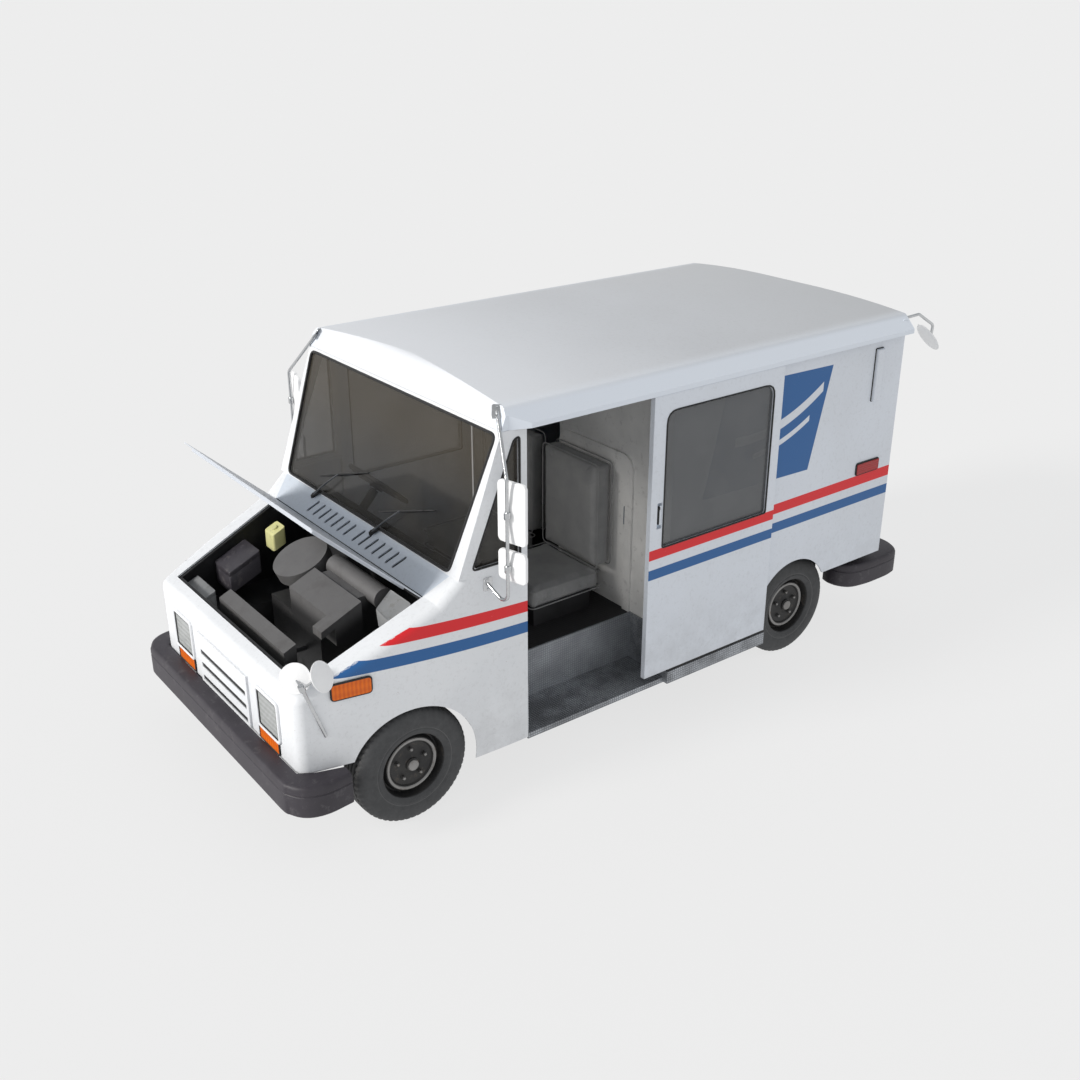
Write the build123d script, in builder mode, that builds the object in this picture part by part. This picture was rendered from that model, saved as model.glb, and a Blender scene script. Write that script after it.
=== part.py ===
from build123d import *
from math import asin, atan2, cos, degrees, radians, sin, sqrt, tan
import os

# Mail delivery truck, right-hand drive, with sliding cab doors and a roll-up rear door.
# Frame: +Z up, front towards -Y, vehicle's left side at +X, ground at Z = 0, origin under the centre.
# Stations are distances in mm behind the front axle; at() turns them into Y in the frame.

# ---------------------------------------------------------------- overall sizes
WHEELBASE = 2812
BODY_HALF_WIDTH = 952.5
BODY_REAR = 3504
EAVE_HEIGHT = 2000
ROOF_EDGE_HEIGHT = 2108
ROOF_CROWN = 2159
GAP = 3.0
RUN_CLEARANCE = 0.5
SHAFT_CLEARANCE = 0.3

# wheels
TYRE_RADIUS = 324
TYRE_WIDTH = 195
RIM_RADIUS = 178
RIM_WALL = 14
RIM_WIDTH = 170
RIM_DISC_THICKNESS = 14
RIM_DISC_INSET = 42
HUB_RADIUS = 52
SPINDLE_RADIUS = 18
LUG_COUNT = 5
LUG_CIRCLE = 57
LUG_HOLE_RADIUS = 8
BEAD_INSET = 12
TYRE_SHOULDER = 34
RIM_DISH = 118
FRONT_TYRE_FACE = 907
REAR_TYRE_FACE = 839
KINGPIN_X = 740
KINGPIN_RADIUS = 14

# nose
NOSE_FACE = -582
NOSE_BOTTOM = 461
NOSE_TOP_FRONT = 872
NOSE_HALF_WIDTH = 810
NOSE_FULL_WIDTH_AT = 600
NOSE_CORNER = 62
NOSE_EDGE = 50
NOSE_WALL = 10
SILL_BOTTOM = 260
FRONT_ARCH = 345
REAR_ARCH = 307
REAR_ARCH_CENTRE = (2690, 413)
COWL_FRONT = 153
COWL_FRONT_HEIGHT = 1191
COWL_REAR = 267
BELT_HEIGHT = 1294
DOOR_FRONT = 671
HOOD_FRONT = -510
HOOD_HALF_FRONT = 729
HOOD_HALF_REAR = 795
COWL_HALF_REAR = 862
LIP_WIDTH = 18
LIP_GAP = 6

COWL_WALL = 8
COWL_SLOT_COUNT = 7
COWL_SLOT_FIRST = -439
COWL_SLOT_SECOND = 70
COWL_SLOT_PITCH = 69
COWL_SLOT = (97, 18)
COWL_SLOT_LEAN = 62

# hood
HOOD_SKIN = 6
HOOD_RISE = 66.0
HOOD_CORNER = 6
HOOD_RIB = 30
HOOD_RIB_INSET = 90
HOOD_RIB_DEPTH = 14
HINGE_DROP = 4
HINGE_SETBACK = 8

# cab frame and glass
RAKE = 19.9
FRAME_DEPTH = 32
GLASS = 6
GLASS_INSET = 6
SCREEN_HALF_BOTTOM = 850
SCREEN_HALF_TOP = 918
SCREEN_LOW = 14
SCREEN_TOP_HEIGHT = 1979
SCREEN_CORNER = 38
QUARTER_FRONT = 344
QUARTER_REAR = 628
QUARTER_LOW = 1330
QUARTER_TOP = 1956
QUARTER_TOP_FRONT = 596
QUARTER_CORNER = 26
PILLAR_WALL = 26

# body panels
SIDE_WALL = 10
SIDE_FRONT = 1640
SIDE_LOW = 332
TAIL_LOW = 562
ROOF_HALF_EAVE = 996
ROOF_HALF_EDGE = 919
ROOF_OVERHANG = 26
ROOF_WALL = 8
ROOF_BROW = 60
VENT = (3246, 3306, 1625, 1942)
VENT_PROUD = 22
REAR_DEPTH = 25
REAR_FRAME_LOW = 565
REAR_OPENING_HALF = 584
REAR_OPENING_LOW = 600
REAR_OPENING_TOP = 1880
CURTAIN_WALL = 8
CURTAIN_LAP = 12
CURTAIN_SLATS = 14
CURTAIN_GROOVE = 2.5
CURTAIN_HANDLE = 70

# floor, step and bulkhead
FLOOR_HEIGHT = 574
FLOOR_WALL = 10
FLOOR_FRONT = 345
WELL_X = 640
STEP_HEIGHT = 280
STEP_PLATE = 10
STEP_SKIRT = 32
LEDGE_TOP = 330
LEDGE_LOW = 254
LEDGE_REAR = 2424
LEDGE_X = 990
FIREWALL = 12
FIREWALL_LOW = 705
BULKHEAD_FACE = 1645
BULKHEAD_WALL = 20
PASSAGE = (-560, -30)
PASSAGE_TOP = 1640
PASSAGE_CORNER = 120
ARCH_BEAM = (-20, 640)
ARCH_BEAM_LEG = 58
ARCH_BEAM_LOW = 1405
ARCH_BEAM_TOP = 1530
ARCH_BEAM_PROUD = 14
WHEELHOUSE_X = 600
WHEELHOUSE_TOP = 745
WHEELHOUSE_HALF = 400
WHEELHOUSE_WALL = 10

# sliding doors
DOOR_LENGTH = 962
DOOR_LOW = 348
DOOR_INNER = 958
DOOR_WALL = 32
DOOR_EDGE = 4
DOOR_TRAVEL = 786
WINDOW_FRONT = 90
WINDOW_REAR = 73
WINDOW_LOW = 1136
WINDOW_TOP = 1906
WINDOW_CORNER = 70
WINDOW_LOW_CORNER = 14
LATCH_BACK = 45
LATCH_SIZE = (34, 150)
LATCH_HEIGHT = 1330
LATCH_DEPTH = 12
RAIL_X = (960, 982)
RAIL_HEIGHT = 12

# bumpers
BUMPER_FACE = -686
BUMPER_LOW = 295
BUMPER_TOP = 472
BUMPER_HALF = 965
BUMPER_FLAT_HALF = 818
BUMPER_END = -378
BUMPER_BEHIND = -592
BUMPER_BEND = ((908, 40), (950, 106))
TAIL_BUMPER_FACE = 3788
TAIL_BUMPER_LOW = 345
TAIL_BUMPER_TOP = 508
TAIL_BUMPER_TIP = (744, 3228)
TAIL_BUMPER_OUTER = ((800, 3216), (870, 3230), (932, 3285), (958, 3400), (963, 3520), (958, 3640),
                     (938, 3738), (880, 3774))
TAIL_BUMPER_INNER = ((840, 3490), (850, 3330), (744, 3300))
TAIL_BUMPER_FLAT_HALF = 735
TAIL_BUMPER_BEHIND = 3530
BUMPER_EDGE = 12

# lamps and grille
LAMP_X = (409, 625)
LAMP_Z = (557, 761)
LAMP_DEPTH = 34
LAMP_PROUD = 3
TURN_X = (403, 613)
TURN_Z = (476, 549)
MARKER_STATION = -308
MARKER_LENGTH = 195
MARKER_Z = (838, 918)
MARKER_PROUD = 12
REFLECTOR = (3180, 3379, 1163, 1229)
TAIL_LAMP_X = (790, 900)
TAIL_LAMP_Z = (930, 1110)
GRILLE_HALF = 300
GRILLE_Z = (474, 772)
GRILLE_FRAME = 26
GRILLE_PROUD = 12
GRILLE_DEPTH = 22
GRILLE_SLOTS = 3
GRILLE_SLOT = 28
GRILLE_PITCH = 78
GRILLE_FIRST = 662

# mirrors
TUBE = 9
MIRROR_ROD_X = 1100
MIRROR_ROD_STATION = 445
MIRROR_KINK = 1825
MIRROR_ROD_LOW = 1165
MIRROR_TOP_FOOT = (892, 542, 2082)
MIRROR_LOW_FOOT = (957, 430, 1238)
MIRROR_TOE = 15
MIRROR_WIDTH = 170
MIRROR_DEPTH = 34
MIRROR_UPPER = (1489, 1804)
MIRROR_LOWER = (1290, 1450)
MIRROR_SET_BACK = 14
MIRROR_CLAMP = 16
MIRROR_BEND = 45
CROSS_FOOT = (850, -448, 655)
CROSS_TOP = (862, -560, 978)
CROSS_DISCS = (
    ((788, -548, 978), (0.73, -0.55, 0.41)),
    ((965, -505, 1054), (0.77, 0.45, 0.45)),
)
CROSS_RADIUS = 75
CROSS_THICKNESS = 14
CROSS_CLAMP = 18
TAIL_MIRROR_FOOT = (880, 3532, 2062)
TAIL_MIRROR_RISE = (892, 3700, 2072)
TAIL_MIRROR_DROP = (912, 3828, 1990)
TAIL_MIRROR_BEND = 28
TAIL_MIRROR_THICKNESS = 12
TAIL_MIRROR_CENTRE = (905, 3800, 1916)
TAIL_MIRROR_RADIUS = 98
TAIL_MIRROR_NORMAL = (-0.27, -0.78, -0.56)

# wipers, in the plane of the screen: across, and up from its foot
WIPER_PIVOTS = (-494, 155)
WIPER_PIVOT_UP = -20
WIPER_SHAFT = 9
WIPER_ARM = 275
WIPER_ARM_WIDTH = 13
WIPER_ARM_ANGLE = 42.6
WIPER_ARM_DEPTH = 7
WIPER_BLADE = 490
WIPER_BLADE_WIDTH = 10
WIPER_BLADE_DEPTH = 13
WIPER_BLADE_ANGLE = 19
WIPER_BLADE_LEAD = 34
WIPER_CLEARANCE = 1.5
WIPER_SHAFT_BELOW = 30

# chassis and drive line
DRUM_RADIUS = 118
DRUM_WIDTH = 70
DRUM_OUTER_GAP = 26
PIPE_HEIGHT = 395
PIPE_EXIT = 2205
RAIL_X_IN = 400
RAIL_X_OUT = 460
RAIL_LOW = 430
RAIL_FRONT = -546
RAIL_REAR = 3530
AXLE_TUBE = 38
DIFF_RADIUS = 105
DIFF_HALF = 130
SPRING_X = 520
SPRING_WIDTH = 60
SPRING_HALF = 520
SPRING_THICK = 26
TANK = ((-400, 400), (3010, 3430), (330, 500))
MEMBERS = (-500, 380, 1200, 2250, 3480)
MEMBER = (46, 490, 536)
RAIL_SECTION_WALL = 6
ARM_X = 470
KNUCKLE_HALF = 60
ARM_THICK = 16
FLAP_X = (610, 735)
FLAP_STATION = 3150
FLAP_Z = (165, 600)
PIPE = 24
MUFFLER_RADIUS = 78
MUFFLER = (1250, 1800)

# engine bay
BAY_DEPTH = 62
ENGINE_X = (-300, 260)
ENGINE_FRONT = -150
ENGINE_REAR = 300
ENGINE_LOW = 462
ENGINE_DECK = 860
DUCT_X = (-60, 440)
INTAKE_STATION = 120
INTAKE_RADIUS = 58
FAN_SHAFT = 12
FAN_BLADES = 6
LINER_WALL = 6
LINER_LOW_X = 500
LINER_SHELF = 702
LINER_BOTTOM = 455
RADIATOR_HALF = 385
RADIATOR = (-415, -345)
FAN_STATION = -285
FAN_RADIUS = 165
FAN_HEIGHT = 690
FAN_X = 80
AIR_CLEANER = (-230, -16)
AIR_CLEANER_RADIUS = 160
AIR_CLEANER_DEPTH = 70

# cab fittings
DASH = (352, 520, 900, 1180)
WHEEL_CENTRE = (-450, 640, 1270)
WHEEL_LEAN = 42
WHEEL_RIM = 190
WHEEL_GRIP = 13
COLUMN_RADIUS = 26
COLUMN_TOP = 40
COLUMN_SHAFT = 10
DASH_HALF = 850
SEAT_LENGTH = 510
SEAT_WIDTH = 520
SEAT_LEFT_EDGE = 500
DRIVER_LEFT_EDGE = -120
SEAT_FRONT = 1035
SEAT_LOW = 700
SEAT_TOP = 825
BACK_TOP = 1470
BACK_FRONT = 1495
BACK_DEPTH = 124
SEAT_ROUND = 22
SEAT_BASE_INSET = 50
SEAT_RUNNER = 14
RUNNER_HALF = 18
SEAT_BACK_TRAVEL = 150
PEDAL_PIVOT = (400, 870)
BRAKE_X = -430
GAS_X = -320
PEDAL_PIN = 6
PEDAL_FOOT = (500, 690)

# ---------------------------------------------------------------- derived values
TAIL_TILT = abs(TAIL_MIRROR_NORMAL[1]) / sqrt(sum(n * n for n in TAIL_MIRROR_NORMAL))
TAIL_MIRROR_REACH = (
    TAIL_MIRROR_RADIUS * sqrt(1 - TAIL_TILT ** 2) + TAIL_MIRROR_THICKNESS / 2 * TAIL_TILT
)
TAIL_END = TAIL_MIRROR_CENTRE[1] + TAIL_MIRROR_REACH
FRONT_AXLE_Y = -(BUMPER_FACE + TAIL_END) / 2
NOSE_RADIUS = (
    (BODY_HALF_WIDTH - NOSE_HALF_WIDTH) ** 2 + (NOSE_FULL_WIDTH_AT - NOSE_FACE) ** 2
) / (2 * (BODY_HALF_WIDTH - NOSE_HALF_WIDTH))
HOOD_SLOPE = degrees(atan2(COWL_FRONT_HEIGHT - NOSE_TOP_FRONT, COWL_FRONT - NOSE_FACE))
RAKE_RUN = tan(radians(RAKE))
AXLE_HEIGHT = TYRE_RADIUS


def at(station):
    return FRONT_AXLE_Y + station


def nose_half(station):
    run = max(NOSE_FULL_WIDTH_AT - station, 0)
    return BODY_HALF_WIDTH - NOSE_RADIUS + sqrt(NOSE_RADIUS ** 2 - run ** 2)


def hood_height(station):
    return COWL_FRONT_HEIGHT + (station - COWL_FRONT) * tan(radians(HOOD_SLOPE))


def screen_station(height):
    return COWL_REAR + (height - BELT_HEIGHT) * RAKE_RUN


SCREEN = Plane(
    origin=(0, at(COWL_REAR), BELT_HEIGHT),
    x_dir=(1, 0, 0),
    z_dir=(0, -cos(radians(RAKE)), sin(radians(RAKE))),
)
HOOD_PLANE = Plane(
    origin=(0, at(COWL_FRONT), COWL_FRONT_HEIGHT),
    x_dir=(1, 0, 0),
    z_dir=(0, -sin(radians(HOOD_SLOPE)), cos(radians(HOOD_SLOPE))),
)
HOOD_LENGTH = (COWL_FRONT - HOOD_FRONT) / cos(radians(HOOD_SLOPE))


# ---------------------------------------------------------------- building blocks
def block(x, y, z, mode=Mode.ADD):
    # axis-aligned block between pairs of limits, y in stations
    with BuildSketch(Plane.XY.offset(z[0])) as outline:
        with Locations(((x[0] + x[1]) / 2, at((y[0] + y[1]) / 2))):
            Rectangle(x[1] - x[0], y[1] - y[0])
    extrude(outline.sketch, amount=z[1] - z[0], mode=mode)


def side_cut(points, x, mode=Mode.ADD, corner=0):
    # outline of (station, height) points, extruded across the truck
    with BuildSketch(Plane.YZ.offset(x[0])) as outline:
        with BuildLine():
            Polyline([(at(station), height) for station, height in points], close=True)
        make_face()
        if corner:
            fillet(outline.vertices(), corner)
    extrude(outline.sketch, amount=x[1] - x[0], mode=mode)


def front_cut(points, y, mode=Mode.ADD, corner=0):
    # outline of (x, height) points, extruded forwards from the rear limit
    with BuildSketch(Plane.XZ.offset(-at(y[1]))) as outline:
        with BuildLine():
            Polyline(points, close=True)
        make_face()
        if corner:
            fillet(outline.vertices(), corner)
    extrude(outline.sketch, amount=y[1] - y[0], mode=mode)


def plan_cut(points, z, mode=Mode.ADD, corner=0):
    # outline of (x, station) points, extruded upwards
    with BuildSketch(Plane.XY.offset(z[0])) as outline:
        with BuildLine():
            Polyline([(x, at(station)) for x, station in points], close=True)
        make_face()
        if corner:
            fillet(outline.vertices(), corner)
    extrude(outline.sketch, amount=z[1] - z[0], mode=mode)


def both_sides(points):
    # a half outline from the centre line outwards, closed by its mirror image
    return points + [(-x, other) for x, other in reversed(points)]


def rod(start, end, radius, mode=Mode.ADD):
    # round bar between two points, each (x, station, height)
    a = Vector(start[0], at(start[1]), start[2])
    b = Vector(end[0], at(end[1]), end[2])
    with BuildSketch(Plane(origin=a, z_dir=(b - a).normalized())) as section:
        Circle(radius)
    extrude(section.sketch, amount=(b - a).length, mode=mode)


def tube(points, bend, radius):
    # bent bar along straight runs joined by tangent arcs
    route = [Vector(x, at(station), height) for x, station, height in points]
    with BuildLine() as path:
        FilletPolyline(*route, radius=bend)
    start = Plane(origin=route[0], z_dir=(route[1] - route[0]).normalized())
    with BuildSketch(start) as section:
        Circle(radius)
    sweep(section.sketch, path=path.line)


def save(part, name):
    part.label = name
    export_step(part, f"parts/{name}.step")


def mirrored(part):
    return mirror(part, about=Plane.YZ)


# ---------------------------------------------------------------- body shell
def nose_block(inset):
    # the solid form of the front end: side profile within the curved plan, with rounded shoulders
    face = NOSE_FACE + inset
    drop = inset / cos(radians(HOOD_SLOPE))
    with BuildPart() as form:
        with BuildSketch(Plane.XY):
            with BuildLine():
                front = nose_half(face) - inset
                rear = BODY_HALF_WIDTH - inset
                Line((-front, at(face)), (front, at(face)))
                RadiusArc((front, at(face)), (rear, at(NOSE_FULL_WIDTH_AT)), -(NOSE_RADIUS - inset))
                Line((rear, at(NOSE_FULL_WIDTH_AT)), (rear, at(DOOR_FRONT)))
                Line((rear, at(DOOR_FRONT)), (-rear, at(DOOR_FRONT)))
                Line((-rear, at(DOOR_FRONT)), (-rear, at(NOSE_FULL_WIDTH_AT)))
                RadiusArc((-rear, at(NOSE_FULL_WIDTH_AT)), (-front, at(face)), -(NOSE_RADIUS - inset))
            make_face()
        extrude(amount=ROOF_CROWN)
        corners = form.edges().filter_by(Axis.Z).group_by(Axis.Y)[0]
        fillet(corners, NOSE_CORNER - inset)
        with BuildSketch(Plane.YZ.offset(-BODY_HALF_WIDTH)) as side:
            with BuildLine():
                Polyline(
                    (at(face), NOSE_BOTTOM),
                    (at(face), hood_height(face) - drop),
                    (at(COWL_FRONT), COWL_FRONT_HEIGHT - drop),
                    (at(COWL_REAR), BELT_HEIGHT - inset),
                    (at(DOOR_FRONT), BELT_HEIGHT - inset),
                    (at(DOOR_FRONT), SILL_BOTTOM),
                    (at(FRONT_ARCH) - 95, SILL_BOTTOM),
                    (at(FRONT_ARCH) - 95, NOSE_BOTTOM),
                    close=True,
                )
            make_face()
        extrude(amount=2 * BODY_HALF_WIDTH, mode=Mode.INTERSECT)
        low = NOSE_TOP_FRONT - 2 * inset
        rim = form.edges().filter_by(
            lambda e: (e @ 0.5).Z > low and (e @ 0.5).Y < at(COWL_REAR) - 1
            and ((e @ 0.5).Y < at(COWL_FRONT) - 1 or abs((e @ 0.5).X) > HOOD_HALF_REAR)
        )
        fillet(rim, NOSE_EDGE - inset)
    return form.part


def make_nose_shell():
    outer = nose_block(0)
    inner = nose_block(NOSE_WALL)
    with BuildPart() as nose_shell:
        add(outer)
        add(inner, mode=Mode.SUBTRACT)
        block((-BODY_HALF_WIDTH, BODY_HALF_WIDTH), (DOOR_FRONT - NOSE_WALL, DOOR_FRONT),
              (SILL_BOTTOM, BELT_HEIGHT))
        block((-BODY_HALF_WIDTH + 34, BODY_HALF_WIDTH - 34), (FRONT_ARCH, DOOR_FRONT),
              (0, BELT_HEIGHT), mode=Mode.SUBTRACT)
        inner_half = BODY_HALF_WIDTH - NOSE_WALL
        block((-inner_half, inner_half), (NOSE_FACE + NOSE_WALL, DOOR_FRONT - NOSE_WALL),
              (0, NOSE_BOTTOM + 1), mode=Mode.SUBTRACT)
        with BuildSketch(Plane.YZ.offset(-BODY_HALF_WIDTH)):
            with Locations((at(0), AXLE_HEIGHT)):
                Circle(FRONT_ARCH)
        extrude(amount=2 * BODY_HALF_WIDTH, mode=Mode.SUBTRACT)
        opening = [(HOOD_HALF_FRONT, HOOD_FRONT), (HOOD_HALF_REAR, COWL_FRONT),
                   (COWL_HALF_REAR, COWL_REAR), (COWL_HALF_REAR, DOOR_FRONT)]
        plan_cut(both_sides(opening), (hood_height(NOSE_FACE) - 90, ROOF_CROWN), mode=Mode.SUBTRACT)
        front_cut(grille_outline(GRILLE_FRAME / 2), (NOSE_FACE - 1, NOSE_FACE + NOSE_WALL + 1),
                  mode=Mode.SUBTRACT)
        for side in (1, -1):
            for x, z in ((LAMP_X, LAMP_Z), (TURN_X, TURN_Z)):
                limits = sorted((side * x[0], side * x[1]))
                block(limits, (NOSE_FACE - 1, NOSE_FACE + NOSE_WALL + 1), z, mode=Mode.SUBTRACT)
    save(nose_shell.part, "nose_shell")


def grille_outline(inset):
    low, top = GRILLE_Z[0] + inset, GRILLE_Z[1] - inset
    half = GRILLE_HALF - inset
    return [(-half, low), (half, low), (half, top), (-half, top)]


def make_grille():
    # raised frame with wide slots between flat bars
    with BuildPart() as grille:
        front_cut(grille_outline(0), (NOSE_FACE - GRILLE_PROUD, NOSE_FACE))
        front_cut(grille_outline(GRILLE_FRAME / 2), (NOSE_FACE, NOSE_FACE + GRILLE_DEPTH))
        half = GRILLE_HALF - GRILLE_FRAME
        for slot in range(GRILLE_SLOTS):
            middle = GRILLE_FIRST - slot * GRILLE_PITCH
            limits = (middle - GRILLE_SLOT / 2, middle + GRILLE_SLOT / 2)
            block((-half, half), (NOSE_FACE - 40, NOSE_FACE + 40), limits, mode=Mode.SUBTRACT)
    save(grille.part, "grille")


def make_cowl_panel():
    # sloping panel between hood and screen, with two groups of seven slots and the wiper bosses
    fall = Plane(
        origin=(0, at(COWL_FRONT), COWL_FRONT_HEIGHT),
        x_dir=(1, 0, 0),
        z_dir=(0, -(BELT_HEIGHT - COWL_FRONT_HEIGHT), COWL_REAR - COWL_FRONT),
    )
    length = sqrt((COWL_REAR - COWL_FRONT) ** 2 + (BELT_HEIGHT - COWL_FRONT_HEIGHT) ** 2)
    with BuildPart() as cowl_panel:
        with BuildSketch(fall):
            with BuildLine():
                Polyline(
                    (-HOOD_HALF_REAR, 0), (HOOD_HALF_REAR, 0),
                    (COWL_HALF_REAR, length), (-COWL_HALF_REAR, length), close=True,
                )
            make_face()
        extrude(amount=-COWL_WALL)
        with BuildSketch(fall):
            with Locations(*[(x, length / 2) for x in cowl_slots()]):
                SlotOverall(*COWL_SLOT, rotation=COWL_SLOT_LEAN)
        extrude(amount=-COWL_WALL, mode=Mode.SUBTRACT)
        for pivot in WIPER_PIVOTS:
            with BuildSketch(SCREEN.offset(-60)):
                with Locations((pivot, WIPER_PIVOT_UP)):
                    Circle(WIPER_SHAFT + SHAFT_CLEARANCE)
            extrude(amount=120, mode=Mode.SUBTRACT)
    save(cowl_panel.part, "cowl_panel")


def cowl_slots():
    left = [COWL_SLOT_FIRST + i * COWL_SLOT_PITCH for i in range(COWL_SLOT_COUNT)]
    right = [COWL_SLOT_SECOND + i * COWL_SLOT_PITCH for i in range(COWL_SLOT_COUNT)]
    return left + right


def make_cab_frame():
    # screen surround, corner posts and the frames of the small side windows
    with BuildPart() as cab_frame:
        top = EAVE_HEIGHT
        front_low, front_top = COWL_REAR, screen_station(top)
        band = [(front_low, BELT_HEIGHT), (front_top, top),
                (front_top + FRAME_DEPTH, top), (front_low + FRAME_DEPTH, BELT_HEIGHT)]
        side_cut(band, (-BODY_HALF_WIDTH, BODY_HALF_WIDTH))
        post = [(front_low, BELT_HEIGHT), (front_top, top), (DOOR_FRONT, top),
                (DOOR_FRONT, BELT_HEIGHT)]
        side_cut(post, (BODY_HALF_WIDTH - PILLAR_WALL, BODY_HALF_WIDTH))
        side_cut(post, (-BODY_HALF_WIDTH, PILLAR_WALL - BODY_HALF_WIDTH))
        with BuildSketch(Plane.XY.offset(BELT_HEIGHT)):
            with BuildLine():
                front, rear = nose_half(COWL_REAR - 40), BODY_HALF_WIDTH
                near, far = at(COWL_REAR - 40), at(NOSE_FULL_WIDTH_AT)
                Line((-front, near), (front, near))
                RadiusArc((front, near), (rear, far), -NOSE_RADIUS)
                Line((rear, far), (rear, at(DOOR_FRONT)))
                Line((rear, at(DOOR_FRONT)), (-rear, at(DOOR_FRONT)))
                Line((-rear, at(DOOR_FRONT)), (-rear, far))
                RadiusArc((-rear, far), (-front, near), -NOSE_RADIUS)
            make_face()
        extrude(amount=top - BELT_HEIGHT, mode=Mode.INTERSECT)
        extrude(screen_outline(0), amount=-2 * FRAME_DEPTH, both=True, mode=Mode.SUBTRACT)
        extrude(quarter_outline(-BODY_HALF_WIDTH), amount=2 * BODY_HALF_WIDTH, mode=Mode.SUBTRACT)
    save(cab_frame.part, "cab_frame")


def screen_outline(depth):
    # windscreen outline in the raked plane, wider at the top
    height = (SCREEN_TOP_HEIGHT - BELT_HEIGHT) / cos(radians(RAKE))
    with BuildSketch(SCREEN.offset(-depth)) as outline:
        with BuildLine():
            Polyline(
                (-SCREEN_HALF_BOTTOM, SCREEN_LOW), (SCREEN_HALF_BOTTOM, SCREEN_LOW),
                (SCREEN_HALF_TOP, height), (-SCREEN_HALF_TOP, height), close=True,
            )
        make_face()
        fillet(outline.vertices(), SCREEN_CORNER)
    return outline.sketch


def quarter_outline(x):
    # small side window: low front point, sloping front edge, upright rear edge
    with BuildSketch(Plane.YZ.offset(x)) as outline:
        with BuildLine():
            Polyline(
                (at(QUARTER_FRONT), QUARTER_LOW), (at(QUARTER_REAR), QUARTER_LOW),
                (at(QUARTER_REAR), QUARTER_TOP), (at(QUARTER_TOP_FRONT), QUARTER_TOP), close=True,
            )
        make_face()
        fillet(outline.vertices().sort_by(Axis.X)[0], QUARTER_CORNER)
        fillet(outline.vertices().sort_by(Axis.Y)[-2:], QUARTER_CORNER / 2)
    return outline.sketch


def make_cab_glass():
    # windscreen and the two small side windows
    with BuildPart() as cab_glass:
        extrude(screen_outline(GLASS_INSET), amount=-GLASS)
        for x in (BODY_HALF_WIDTH - PILLAR_WALL, -BODY_HALF_WIDTH + PILLAR_WALL - GLASS):
            extrude(quarter_outline(x), amount=GLASS)
    save(cab_glass.part, "cab_glass")


def roof_block(inset):
    front = screen_station(EAVE_HEIGHT)
    low = EAVE_HEIGHT + 2
    with BuildPart() as form:
        with BuildSketch(Plane.XZ.offset(-at(BODY_REAR + ROOF_OVERHANG - inset))) as across:
            with BuildLine():
                eave, edge = ROOF_HALF_EAVE - inset, ROOF_HALF_EDGE - inset
                Polyline((eave, low), (eave, low + 26), (edge, ROOF_EDGE_HEIGHT - inset))
                ThreePointArc((edge, ROOF_EDGE_HEIGHT - inset), (0, ROOF_CROWN - inset),
                              (-edge, ROOF_EDGE_HEIGHT - inset))
                Polyline((-edge, ROOF_EDGE_HEIGHT - inset), (-eave, low + 26), (-eave, low),
                         (eave, low))
            make_face()
            fillet(across.vertices().group_by(Axis.Y)[-1], ROOF_BROW / 2)
        extrude(amount=BODY_REAR + ROOF_OVERHANG - front)
        run = (ROOF_CROWN - low) * RAKE_RUN
        rear = BODY_REAR + ROOF_OVERHANG - inset
        with BuildSketch(Plane.YZ.offset(-ROOF_HALF_EAVE)) as along:
            with BuildLine():
                Polyline((at(front + inset), low), (at(front + inset + run), ROOF_CROWN),
                         (at(rear), ROOF_CROWN), (at(rear), low), close=True)
            make_face()
            fillet(along.vertices().group_by(Axis.Y)[-1], ROOF_BROW)
        extrude(amount=2 * ROOF_HALF_EAVE, mode=Mode.INTERSECT)
        with BuildSketch(Plane.XY.offset(low)):
            with BuildLine():
                narrow, wide = BODY_HALF_WIDTH - inset, ROOF_HALF_EAVE - inset
                Polyline((narrow, at(front - 1)), (narrow, at(front + 40)), (wide, at(DOOR_FRONT)),
                         (wide, at(BODY_REAR + ROOF_OVERHANG)), (-wide, at(BODY_REAR + ROOF_OVERHANG)),
                         (-wide, at(DOOR_FRONT)), (-narrow, at(front + 40)),
                         (-narrow, at(front - 1)), close=True)
            make_face()
        extrude(amount=ROOF_CROWN - low, mode=Mode.INTERSECT)
    return form.part


def make_roof():
    outer = roof_block(0)
    inner = roof_block(ROOF_WALL)
    with BuildPart() as roof:
        add(outer)
        add(inner, mode=Mode.SUBTRACT)
        low = EAVE_HEIGHT + 2
        for side in (1, -1):
            limits = sorted((side * (BODY_HALF_WIDTH - SIDE_WALL), side * (BODY_HALF_WIDTH + 2)))
            block(limits, (DOOR_FRONT, BODY_REAR), (low, low + 60))
        block((-BODY_HALF_WIDTH + 2, BODY_HALF_WIDTH - 2), (BODY_REAR - REAR_DEPTH, BODY_REAR),
              (low, low + 80))
    save(roof.part, "roof")


def side_outline():
    # cargo side from the cab opening to the tail, stepped at the rear arch
    return [(SIDE_FRONT, EAVE_HEIGHT + 2), (BODY_REAR, EAVE_HEIGHT + 2), (BODY_REAR, TAIL_LOW),
            (WHEELBASE, TAIL_LOW), (WHEELBASE, SIDE_LOW), (SIDE_FRONT, SIDE_LOW)]


def make_cargo_sides():
    with BuildPart() as side:
        inner = BODY_HALF_WIDTH - SIDE_WALL
        side_cut(side_outline(), (inner, BODY_HALF_WIDTH))
        with BuildSketch(Plane.YZ.offset(inner)):
            with Locations((at(REAR_ARCH_CENTRE[0]), REAR_ARCH_CENTRE[1])):
                Circle(REAR_ARCH)
        extrude(amount=SIDE_WALL, mode=Mode.SUBTRACT)
        block((BODY_HALF_WIDTH, BODY_HALF_WIDTH + VENT_PROUD), VENT[0:2], VENT[2:4])
        outward = side.faces().sort_by(Axis.X)[-1]
        fillet(outward.edges(), VENT_PROUD / 3)
    save(side.part, "left_cargo_side")
    save(mirrored(side.part), "right_cargo_side")


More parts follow.
